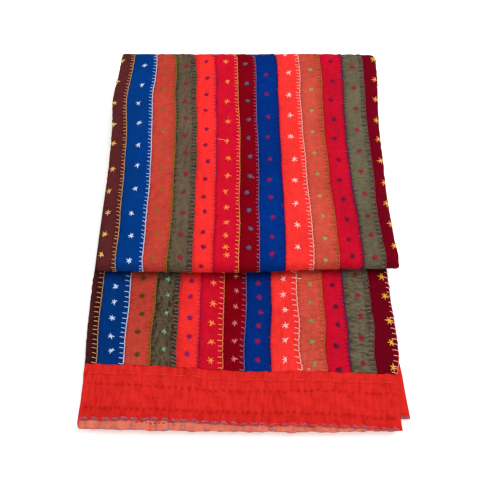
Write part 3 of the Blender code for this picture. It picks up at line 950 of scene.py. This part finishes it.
# ---- the cloths ---------------------------------------------------------------------------------------
VISIBLE_SPACING = 0.0027        # metres from row to row of a cloth's grid, by where it lies
BORDER_SPACING = 0.0022
BACKING_SPACING = 0.0028
HIDDEN_SPACING = 0.0360
INNER_SPACING = 0.0300
FAR_BORDER_SPACING = 0.0200
PLY_SPACING = 0.0250            # and from column to column, on a hidden ply
UNDER_FRONT_FOLD = 2.15         # the way at which the lower panel has gone under the front fold
FOLD_SHOWS = 5.2                # and the way from which that fold is seen
TURNED_UNDER = 0.0016           # how far a strip's left edge reaches under the strip beside it
# how strong a strip's creases are, lengthwise and crosswise
CREASED = {"olive": (0.95, 0.45), "grey_olive": (0.40, 0.75),
           "terracotta": (0.16, 0.25), "rust": (0.20, 0.25)}
SLIGHTLY_CREASED = (0.15, 0.12)


def grid_ways(first, *stretches):
    """Ways of a grid's rows, as a column.

    Each stretch has where it ends, and its rows' spacing in metres or, round a bend, their number.
    """
    pieces = []
    for last, density in stretches:
        rows = np.linspace if isinstance(density, int) else rows_between
        pieces.append(rows(first, last, density))
        first = last
    return joined(*pieces)[:, None]


def grid_places(ply_2, ply_1_count):
    """Q of a grid's columns, from free edge to free edge, with those of plies 2 and 1 as given."""
    return joined(np.arange(FREE_EDGES[0], PLY_3_Q[1], PLY_SPACING), np.linspace(*INNER_FOLD_Q, 9),
                  ply_2, np.linspace(*LEFT_FOLD_Q, 9), np.linspace(*PLY_1_Q, ply_1_count),
                  np.linspace(*RIGHT_FOLD_Q, 15), np.linspace(PLY_4_Q[0], FREE_EDGES[1], 24))


def make_strip(number, sizes, colours):
    """One patchwork strip, from the near border's seam to the far border's.

    Its columns go evenly from seam to seam, then closer together towards the two seams.  The first
    strip's go round the left fold as well.
    """
    strip = STRIPS[number]
    way = grid_ways(NEAR_SEAM_WAY, (UNDER_FRONT_FOLD, VISIBLE_SPACING), (A_ENDS, HIDDEN_SPACING),
                    (B_STARTS, 7), (B_ENDS, HIDDEN_SPACING), (FOLD_SHOWS, 3),
                    (D_STARTS, VISIBLE_SPACING), (FAR_SEAM_WAY, HIDDEN_SPACING))
    left, right = seam(number - 1, way), seam(number, way)
    if number > 0:
        even = np.linspace(-1.0, 1.0, 29 if strip.rough > 0.8 else 19)
        closer = (even * (1.35 - 0.35 * even ** 2) + 1.0) / 2.0
        q = np.concatenate((left - TURNED_UNDER, left + (right - left) * closer), axis=1)
    else:
        round_fold = np.linspace(TOP_LEFT - LEFT_FOLD, TOP_LEFT, 9)
        inner = left + (round_fold[0] - left) * np.array((0.0, 0.33, 0.67))
        rest = TOP_LEFT + (right - TOP_LEFT) * (1.0 - (1.0 - np.linspace(0, 1, 15)[1:]) ** 1.3)
        q = np.concatenate((inner, np.broadcast_to(round_fold, (len(way), 9)), rest), axis=1)
    material = cotton(strip.name + "_cotton", getattr(colours, strip.name),
                      mottling=0.38 + 0.20 * strip.rough, shadow=0.70 - 0.36 * strip.rough,
                      crumple=0.8 + strip.rough, creased=CREASED.get(strip.name, SLIGHTLY_CREASED))
    cloth_sheet("strip_" + strip.name, "pieced_field",
                way, q, strip_relief(number, np.broadcast_to(way, q.shape), q, sizes),
                material, sizes, below=strip.below)


def dyed(from_first, colours):
    """Colour of each face of a grid: strips of one width, taking the patchwork's colours in turn."""
    middle = (from_first[:-1, :-1] + from_first[1:, 1:]) / 2.0
    order = np.floor(np.abs(middle) / INNER_STRIP_WIDTH).astype(int) % len(STRIPS)
    palette = np.array([(*getattr(colours, STRIPS[(4 + 5 * number) % len(STRIPS)].name), 1.0)
                        for number in range(len(STRIPS))])
    return palette[order]


def make_inner_plies(sizes, colours):
    """The patchwork of the plies that lie inside the stack, as two cloths: plies 2 and 3, and ply 4 with
    the fold that leads to it from ply 1."""
    material = cotton("hidden_strips_cotton", (0.5, 0.1, 0.1), dye=True)
    way = grid_ways(NEAR_SEAM_WAY, (A_ENDS, INNER_SPACING), (B_STARTS, 9), (B_ENDS, INNER_SPACING),
                    (FRONT_WAY, 21), (C_ENDS, INNER_SPACING), (D_STARTS, 25),
                    (FAR_SEAM_WAY, INNER_SPACING))
    start = FREE_EDGES[0]
    end = float(seam(-1, NEAR_SEAM_WAY))
    q = joined(np.linspace(start, start + 0.03, 5), np.linspace(start, INNER_FOLD_Q[0], 16),
               np.linspace(*INNER_FOLD_Q, 9), np.linspace(INNER_FOLD_Q[1], end, 16),
               np.arange(end, start + 0.01, -INNER_STRIP_WIDTH))
    q = np.broadcast_to(q, (len(way), len(q)))
    cloth_sheet("strips_plies_2_3", "pieced_field",
                way, q, (0.0, 0.0), material, sizes, dye=dyed(q - end, colours))

    start = seam(len(STRIPS) - 1, way)
    end = FREE_EDGES[1]
    even = np.concatenate((np.linspace(0.0, 0.12, 25), np.arange(1, 11) * INNER_STRIP_WIDTH,
                           (0.36, 0.42)))
    even = np.unique(np.append(even[even < end - TOP_RIGHT - 0.04], end - TOP_RIGHT - 0.03))
    q = np.concatenate((start - 0.0012, np.minimum(start + even, end), np.full_like(start, end)), axis=1)
    cloth_sheet("strips_ply_4", "pieced_field",
                way, q, (0.0, 0.0), material, sizes, dye=dyed(q - start, colours))


def make_borders(sizes, colours):
    """The two borders: each a band from a hem to its seam, over all four plies."""
    ply_2 = np.arange(PLY_2_Q[0], PLY_2_Q[1] - 0.012, PLY_SPACING)
    for name, node, first, last, seam_way, spacing in (
            ("border_near", "near_border", 0.0, NEAR_SEAM_WAY, NEAR_SEAM_WAY, BORDER_SPACING),
            ("border_far", "far_border", FAR_SEAM_WAY, LAST_WAY, FAR_SEAM_WAY, FAR_BORDER_SPACING)):
        way, q = np.broadcast_arrays(grid_ways(first, (last, spacing)),
                                     grid_places(ply_2, int(PLY / spacing)))
        material = cotton(name + "_cotton", colours.border, mottling=0.22, creased=(0.24, 0.14))
        cloth_sheet(name, node, way, q, border_relief(way, q, seam_way, sizes),
                    material, sizes)


def make_backing(sizes, colours):
    """The backing, one cloth from hem to hem."""
    way = grid_ways(0.0, (0.3, BACKING_SPACING), (A_ENDS, HIDDEN_SPACING), (B_STARTS, 9),
                    (B_ENDS, HIDDEN_SPACING), (FRONT_WAY, 17), (C_ENDS, HIDDEN_SPACING), (D_STARTS, 25),
                    (LAST_WAY, HIDDEN_SPACING))
    way, q = np.broadcast_arrays(way, grid_places(np.linspace(*PLY_2_Q, 100), 24))
    weight = smooth_step(way, 0.30, 0.12) * smooth_step(q, PLY_2_Q[0], PLY_2_Q[0] + 0.02) \
        * smooth_step(q, PLY_2_Q[1], PLY_2_Q[1] - 0.02)
    waves = ripples(q, metres(way), 9, *BACKING_WAVES)
    material = cotton("backing_cotton", colours.backing, mottling=0.45, creased=(0.30, 0.20))
    # The second value is painted shade in the troughs of the backing's waves
    cloth_sheet("quilt_backing", "backing",
                way, q, (BACKING_WAVE_HEIGHT * waves * weight, 0.3 * unit(-waves) * weight),
                material, sizes, side=-1)


# ---- the stitches -------------------------------------------------------------------------------------
SEAM_OUTSET = 0.0004            # how far outside its seam a blanket stitch's thread lies
LONGEST_STEP = 0.030            # a stitch with no next one nearer than this has the last step instead
LAST_STEP = 0.010
STAR_FROM = 0.0057              # a motif with a larger radius is a star, and one with a smaller a dot
HEM_TO_SEAM = metres(NEAR_SEAM_WAY)
# a motif's number of arms, how unevenly they are turned, their least length, and their thread's radius
Motif = namedtuple("Motif", "arms turned least radius")
STAR = Motif(6, 0.12, 0.80, 0.00150)
DOT = Motif(9, 0.20, 0.75, 0.00118)
# for each bar of a group: its first and last place along the hem and above it, in millimetres
HEM_BARS = ((-5.5, 0.6, 5.0, 4.6), (-4.5, 4.6, 4.0, 1.0), (-1.0, 1.2, 1.6, 5.2), (3.0, 2.6, 9.0, 1.4))
BACKING_HEM_BARS = ((-5.0, 0.4, 3.5, 2.2), (2.0, 0.3, 6.0, 0.8))
BACKING_ROW = (0.9575, 1.0270, 0.0078)  # q of the first and the last short stitch, and their pitch
BACKING_STITCH = 0.0045                 # length of one
BACKING_RISE = 0.0128                   # from the hem to them
BACKING_BARS = ((0.9655, 0.0025), (0.9370, 0.0010))     # q of each bar, and how far it leans
# Loose ends of thread beside a motif: strip, panel, which motif, where the end starts and stops, across
# and along in millimetres from the motif's middle, and the thread's radius and colour.
LOOSE_ENDS = (
    ("tail_crimson", 5, 0, 8, (0.0, 0.0), (-22.0, 8.0), 0.50, "F5A096"),
    ("tail_dark_red", 6, 0, 4, (0.0, 0.0), (10.0, -5.5), 0.45, "B49196"),
    ("tail_terracotta", 2, 0, 6, (-4.0, -5.5), (1.5, -7.5), 0.45, "F0AF9B"),
    ("knot_crimson", 5, 0, 9, (0.0, 11.0), (1.2, 12.0), 0.70, "F07D8C"),
    ("knot_seam", 5, 0, 10, (-20.5, -2.2), (-20.0, 2.2), 1.60, "5F0F50"),
    ("long_stitch_bright_red", 8, 1, 0, (17.0, 1.0), (35.0, 0.0), 0.80, "FFC8BE"),
    ("end_rust", 9, 1, 4, (-10.0, -8.5), (-5.5, -11.5), 0.60, "FFC8A0"),
)


def make_blanket_stitches(number, sizes, colours):
    """The blanket stitches on a strip's right seam.

    Each has a tooth that leaves the seam and runs into the strip, leaning towards the far hem, and a
    loop that follows the seam to the next tooth, bowed a little outwards.
    """
    strip = STRIPS[number]
    random = np.random.default_rng(140 + number)
    way = stitch_ways(number)
    count = len(way)
    along = metres(way)
    step = np.diff(along, append=along[-1] + LAST_STEP)
    step = np.where(step > LONGEST_STEP, LAST_STEP, step)
    uneven = random.uniform(0.88, 1.12, count)[:, None]
    tooth_radius, seam_radius = (sizes.thread * size / 1000.0 * uneven for size in strip.thread_radius)

    part = np.linspace(0.0, 1.0, 7)
    arc = np.sin(math.pi * part)
    slant = 0.0022 + wander(along, (0.0006, 0.045, 1.7 * number)) + random.normal(0.0, 0.0006, count)
    length = by_panel(way, *strip.tooth) / 1000.0 * random.uniform(0.85, 1.10, count)
    tooth_way = way_at(along[:, None] + slant[:, None] * part + 0.0003 * arc)
    tooth_q = seam(number, tooth_way) + SEAM_OUTSET - length[:, None] * part
    tooth_lift = strip_relief(number, tooth_way, tooth_q, sizes)[0] \
        + tooth_radius * (0.60 - 1.3 * part ** 8 + 0.30 * arc)

    loop_way = way_at(along[:, None] + step[:, None] * (1.06 * part - 0.03))
    seam_q = seam(number, loop_way)
    loop_q = seam_q + SEAM_OUTSET + random.uniform(0.0001, 0.0006, count)[:, None] * arc
    loop_lift = strip_relief(number, loop_way, seam_q - 0.0006, sizes)[0] \
        + seam_radius * (0.10 + 0.40 * arc)

    # The loops along the seam take a darker tone than the teeth: painted shade on the loops, while the
    # teeth keep nearly the thread's full colour
    both = [np.concatenate(pair) for pair in (
        (tooth_way, loop_way), (tooth_q, loop_q), (tooth_lift, loop_lift),
        (taper(part, tooth_radius), taper(part, seam_radius)),
        (random.uniform(0.0, 0.3, count), random.uniform(0.4, 0.8, count)))]
    threads("blanket_stitches_" + strip.name, *both,
            embroidery(strip.name, getattr(colours, strip.name + "_thread")))


def make_motifs(number, sizes):
    """A strip's stars or dots: straight stitches that meet in the middle of each.

    A star has six arms, long and pointed, one of them at times a stub.  A dot has nine short ones that
    fill it.
    """
    strip = STRIPS[number]
    random = np.random.default_rng(240 + number)
    part = np.linspace(0.0, 1.0, 5)
    for panel, (way, q), size, code in zip(("upper", "lower"), motif_places(number),
                                           (strip.upper_radius / 1000.0, strip.lower_radius / 1000.0),
                                           (strip.upper_colour, strip.lower_colour)):
        kind = STAR if size > STAR_FROM else DOT
        arms = kind.arms
        angle = 2 * math.pi * np.arange(arms) / arms + random.uniform(0, 2, (len(way), 1)) \
            + random.normal(0.0, kind.turned, (len(way), arms))
        reach = size * random.uniform(kind.least, 1.12, (len(way), arms))
        if kind is STAR:
            reach[:, -1] *= random.choice((1.0, 0.5), len(way))
        distance = 0.0002 + reach[..., None] * part
        line_way = way_at(metres(way)[:, None, None] + distance * np.sin(angle)[..., None])
        line_way = line_way.reshape(-1, len(part))
        line_q = (q[:, None, None] + distance * np.cos(angle)[..., None]).reshape(-1, len(part))
        thinned = 1.0 - (0.65 * part if kind is STAR else 0.35 * part ** 3)
        base = sizes.thread * kind.radius * random.uniform(0.9, 1.1, len(way))
        radius = np.repeat(base, arms)[:, None] * thinned
        stacked = np.tile(0.30 * (np.arange(arms) % 3), len(way))[:, None]
        lift = strip_relief(number, line_way, line_q, sizes)[0] \
            + radius * (0.45 + stacked * (1.0 - part) - 1.1 * part ** 6)
        tone = np.repeat(random.uniform(0.0, 0.25, len(way)), arms) \
            + random.uniform(0.0, 0.15, len(line_way))
        threads("motifs_%s_%s" % (strip.name, panel), line_way, line_q, lift, radius, tone,
                embroidery("%s_%s_motif" % (strip.name, panel), linear(code)))


def make_running_stitches(sizes, colours):
    """Two rows of short running stitches along the near border, and long ones beside its seam."""
    random = np.random.default_rng(340)
    part = np.linspace(0.0, 1.0, 6)
    for name, rows, straight, fineness, colour in (
            ("running_stitches_border", BORDER_ROWS, False, 1.45, colours.border_thread),
            ("long_stitches_border", (SEAM_ROW,), True, 0.7, colours.seam_thread)):
        places = []
        for row, pitch, length in rows:
            start, drift = row_stitches(row, pitch)
            length = length * random.uniform(0.8, 1.2, len(start))
            q = start[:, None] + length[:, None] * part
            from_seam = np.broadcast_to(row + (0.0 if straight else drift[:, None]), q.shape)
            places.append((1.0 - from_seam / HEM_TO_SEAM, q))
        way, q = (np.concatenate(values) for values in zip(*places))
        radius = fineness * sizes.fine_thread * random.uniform(0.9, 1.25, len(way))[:, None]
        lift = border_relief(way, q, NEAR_SEAM_WAY, sizes)[0] \
            + radius * (0.6 * np.sin(math.pi * part) - 0.3)
        threads(name, way, q, lift, taper(part, radius), random.uniform(0.0, 0.3, len(way)),
                embroidery(name, colour), "border_cotton")


def make_hem_stitches(sizes, colours):
    """Stitches over the hem of ply 1, over that of the ply below it, which shows its backing, and over
    the corner of the far hem.

    They come in groups: two bars crossed at a low angle, and a short one beside them.
    """
    random = np.random.default_rng(440)
    part = np.linspace(0.0, 1.0, 7)
    material = embroidery("hem_whip", colours.hem_thread)
    for name, first_q, last_q, spacing, side, bars in (
            ("hem_stitches_ply_1", TOP_LEFT, TOP_RIGHT, 0.0175, +1, HEM_BARS),
            ("hem_stitches_ply_2", PLY_2_Q[0] + 0.004, PLY_2_Q[1] - 0.004, 0.0230, -1, BACKING_HEM_BARS),
            ("hem_stitches_far", PLY_4_Q[0] - 0.012, PLY_4_Q[0] + 0.040, 0.0120, +1, HEM_BARS)):
        start = np.arange(first_q + 0.006, last_q - 0.006, spacing)
        start = (start + random.normal(0.0, 0.0014, len(start)))[:, None]
        q, rise = [], []
        for first, low, second, high in bars:
            uneven = random.normal(0.0, 0.0008, (4, len(start), 1))
            q.append(start + (first + (second - first) * part) / 1000.0 + uneven[0] + uneven[1] * part)
            rise.append((low + (high - low) * part) / 1000.0 + 0.5 * (uneven[2] + uneven[3] * part))
        q, rise = np.concatenate(q), np.maximum(np.concatenate(rise), 0.0002)
        way = LAST_WAY - rise / FAR_BORDER if name == "hem_stitches_far" else rise / HEM_TO_SEAM
        radius = sizes.fine_thread * random.uniform(1.0, 1.5, len(q))[:, None]
        under = 0.0
        if name == "hem_stitches_ply_1":
            radius *= 1.0 - 0.35 * smooth_step(q[:, :1], TOP_LEFT + 0.35 * PLY, TOP_LEFT + 0.75 * PLY)
            under = border_relief(way, q, NEAR_SEAM_WAY, sizes)[0]
        lift = under + radius * (0.7 - 1.3 * part ** 6 - 1.2 * (1.0 - part) ** 8)
        threads(name, way, q, lift, taper(part, radius), random.uniform(0.0, 1.0, len(q)), material,
                "border_cotton" if side > 0 else "backing_cotton", side)


def make_backing_stitches(sizes, colours):
    """Short running stitches where the backing shows below ply 1's hem, and two bars over its edge."""
    random = np.random.default_rng(540)
    part = np.linspace(0.0, 1.0, 6)
    start = np.arange(*BACKING_ROW)
    start = start + random.normal(0.0, 0.0006, len(start))
    drift = random.normal(0.0, 0.0005, len(start))
    q = start[:, None] + BACKING_STITCH * part
    rise = np.broadcast_to(BACKING_RISE + drift[:, None], q.shape)
    bars_q = np.array([first + lean * part for first, lean in BACKING_BARS])
    bars_rise = np.broadcast_to(0.0008 + 0.0105 * part, bars_q.shape)
    for name, rise, q, size, colour in (
            ("running_stitches_backing", rise, q, 1.9, colours.border_thread),
            ("bars_backing", bars_rise, bars_q, 2.3, colours.hem_thread)):
        radius = size * sizes.fine_thread * random.uniform(0.9, 1.1, (len(q), 1))
        threads(name, rise / HEM_TO_SEAM, q, radius * (0.6 - 0.9 * np.abs(2.0 * part - 1.0) ** 4),
                taper(part, radius), random.uniform(0.0, 0.3, len(q)), embroidery(name, colour),
                "backing_cotton", side=-1)


def make_loose_ends(sizes):
    """Loose tails of thread left lying on the panels, two knots and a stitch that runs on too far."""
    part = np.linspace(0.0, 1.0, 9)
    for name, number, panel, which, start, stop, radius, code in LOOSE_ENDS:
        way, q = (values[which] for values in motif_places(number)[panel])
        start, run = np.array(start) / 1000.0, (np.array(stop) - start) / 1000.0
        line_q = (q + start[0] + run[0] * part)[None]
        line_way = way_at(metres(way) + start[1] + run[1] * part
                          + 0.05 * np.hypot(*run) * np.sin(2 * math.pi * part))[None]
        radius = np.array([[radius / 1000.0 * sizes.thread]])
        lift = [strip_relief(other, line_way, line_q, sizes)[0] for other in (number, number + 1)]
        lift = np.where(line_q < seam(number, line_way), *lift) \
            + radius * (0.9 + 0.3 * np.sin(math.pi * part))
        threads(name, line_way, line_q, lift, taper(part, radius), np.zeros(1),
                embroidery(name, linear(code)))


# ---- the stage ----------------------------------------------------------------------------------------
CAMERA_PLACE = (0.00875, -0.55106, 1.0651)
CAMERA_TILT = math.radians(25.0)
CAMERA_LENS = 41.11
FLOOR_HALF = 4.0
FLOOR_GLOW = 0.36
SKY_STRENGTH = 0.41
# place, what it is turned to, size and power
LIGHTS = {
    "key_light": ((0.8, 0.4, 2.1), (0.0, 0.1, 0.0), 1.5, 46.5),
    "fill_light": ((-1.5, 0.2, 1.9), (0.0, 0.0, 0.0), 2.0, 16.0),
    "front_light": ((0.4, -2.6, 0.45), (0.0, -0.1, 0.0), 1.6, 36.0),
}


def make_stage(colours):
    """A pale floor, three soft lights, a pale sky and the camera."""
    scene = bpy.context.scene
    mesh = bpy.data.meshes.new("floor")
    corners = ((-1, -1), (1, -1), (1, 1), (-1, 1))
    mesh.from_pydata([(FLOOR_HALF * x, FLOOR_HALF * y, 0) for x, y in corners], [], [(0, 1, 2, 3)])
    tone = (*colours.floor, 1.0)
    new_object("floor", mesh, Nodes("pale_floor").surface({
        "Base Color": tone, "Roughness": 0.8, "Emission Color": tone, "Emission Strength": FLOOR_GLOW}))
    for name, (place, target, size, power) in LIGHTS.items():
        light = bpy.data.lights.new(name, "AREA")
        light.size = size
        light.energy = power
        holder = bpy.data.objects.new(name, light)
        x, y, z = np.subtract(target, place)
        holder.location = place
        holder.rotation_euler = (math.atan2(math.hypot(x, y), -z), 0.0, math.atan2(-x, y))
        scene.collection.objects.link(holder)
    scene.world = bpy.data.worlds.new("pale_sky")
    scene.world.use_nodes = True
    sky = scene.world.node_tree.nodes["Background"].inputs
    sky["Color"].default_value = (1.0, 1.0, 1.0, 1.0)
    sky["Strength"].default_value = SKY_STRENGTH
    scene.view_settings.view_transform = "Standard"
    scene.camera = bpy.data.objects.new("camera", bpy.data.cameras.new("camera"))
    scene.camera.data.lens = CAMERA_LENS
    scene.camera.location = CAMERA_PLACE
    scene.camera.rotation_euler = (CAMERA_TILT, 0.0, 0.0)
    scene.collection.objects.link(scene.camera)


# ---- operators ----------------------------------------------------------------------------------------
def settings(context):
    return context.scene.quilt_sizes, context.scene.quilt_colours


class QUILT_OT_stage(bpy.types.Operator):
    """Make the floor, the lights and the camera"""

    bl_idname = "quilt.stage"
    bl_label = "Stage"
    bl_options = {"REGISTER", "UNDO"}

    def execute(self, context):
        make_stage(context.scene.quilt_colours)
        return {"FINISHED"}


class QUILT_OT_backing(bpy.types.Operator):
    """Make the backing"""

    bl_idname = "quilt.backing"
    bl_label = "Backing"
    bl_options = {"REGISTER", "UNDO"}

    def execute(self, context):
        make_backing(*settings(context))
        return {"FINISHED"}


class QUILT_OT_strips(bpy.types.Operator):
    """Make the patchwork strips that show"""

    bl_idname = "quilt.strips"
    bl_label = "Strips"
    bl_options = {"REGISTER", "UNDO"}

    def execute(self, context):
        for number in range(len(STRIPS)):
            make_strip(number, *settings(context))
        return {"FINISHED"}


class QUILT_OT_inner_plies(bpy.types.Operator):
    """Make the patchwork of the inner plies"""

    bl_idname = "quilt.inner_plies"
    bl_label = "Inner plies"
    bl_options = {"REGISTER", "UNDO"}

    def execute(self, context):
        make_inner_plies(*settings(context))
        return {"FINISHED"}


class QUILT_OT_borders(bpy.types.Operator):
    """Make the two borders"""

    bl_idname = "quilt.borders"
    bl_label = "Borders"
    bl_options = {"REGISTER", "UNDO"}

    def execute(self, context):
        make_borders(*settings(context))
        return {"FINISHED"}


class QUILT_OT_blanket_stitches(bpy.types.Operator):
    """Make the blanket stitches along the strips' seams"""

    bl_idname = "quilt.blanket_stitches"
    bl_label = "Blanket stitches"
    bl_options = {"REGISTER", "UNDO"}

    def execute(self, context):
        for number in range(len(STRIPS)):
            make_blanket_stitches(number, *settings(context))
        return {"FINISHED"}


class QUILT_OT_motifs(bpy.types.Operator):
    """Make the stars and the dots"""

    bl_idname = "quilt.motifs"
    bl_label = "Stars and dots"
    bl_options = {"REGISTER", "UNDO"}

    def execute(self, context):
        for number in range(len(STRIPS)):
            make_motifs(number, context.scene.quilt_sizes)
        return {"FINISHED"}


class QUILT_OT_plain_stitches(bpy.types.Operator):
    """Make the running stitches, the hem stitches and the loose ends"""

    bl_idname = "quilt.plain_stitches"
    bl_label = "Running and hem stitches"
    bl_options = {"REGISTER", "UNDO"}

    def execute(self, context):
        for make in (make_running_stitches, make_hem_stitches, make_backing_stitches):
            make(*settings(context))
        make_loose_ends(context.scene.quilt_sizes)
        return {"FINISHED"}


STEPS = (QUILT_OT_stage, QUILT_OT_backing, QUILT_OT_strips, QUILT_OT_inner_plies, QUILT_OT_borders,
         QUILT_OT_blanket_stitches, QUILT_OT_motifs, QUILT_OT_plain_stitches)


class QUILT_PT_panel(bpy.types.Panel):
    """Lists the quilt's settings and its steps"""

    bl_idname = "QUILT_PT_panel"
    bl_label = "Folded quilt"
    bl_space_type = "VIEW_3D"
    bl_region_type = "UI"
    bl_category = "Quilt"

    def draw(self, context):
        for group in settings(context):
            box = self.layout.box()
            for setting in group.__annotations__:
                box.prop(group, setting)
        for step in STEPS:
            self.layout.operator(step.bl_idname)


CLASSES = (QuiltSizes, QuiltColours, *STEPS, QUILT_PT_panel)


def register():
    for cls in CLASSES:
        bpy.utils.register_class(cls)
    bpy.types.Scene.quilt_sizes = bpy.props.PointerProperty(type=QuiltSizes)
    bpy.types.Scene.quilt_colours = bpy.props.PointerProperty(type=QuiltColours)


def unregister():
    del bpy.types.Scene.quilt_colours
    del bpy.types.Scene.quilt_sizes
    for cls in reversed(CLASSES):
        bpy.utils.unregister_class(cls)


def main():
    register()
    bpy.ops.quilt.stage()
    bpy.ops.quilt.backing()
    bpy.ops.quilt.strips()
    bpy.ops.quilt.inner_plies()
    bpy.ops.quilt.borders()
    bpy.ops.quilt.blanket_stitches()
    bpy.ops.quilt.motifs()
    bpy.ops.quilt.plain_stitches()


if __name__ == "__main__":
    main()
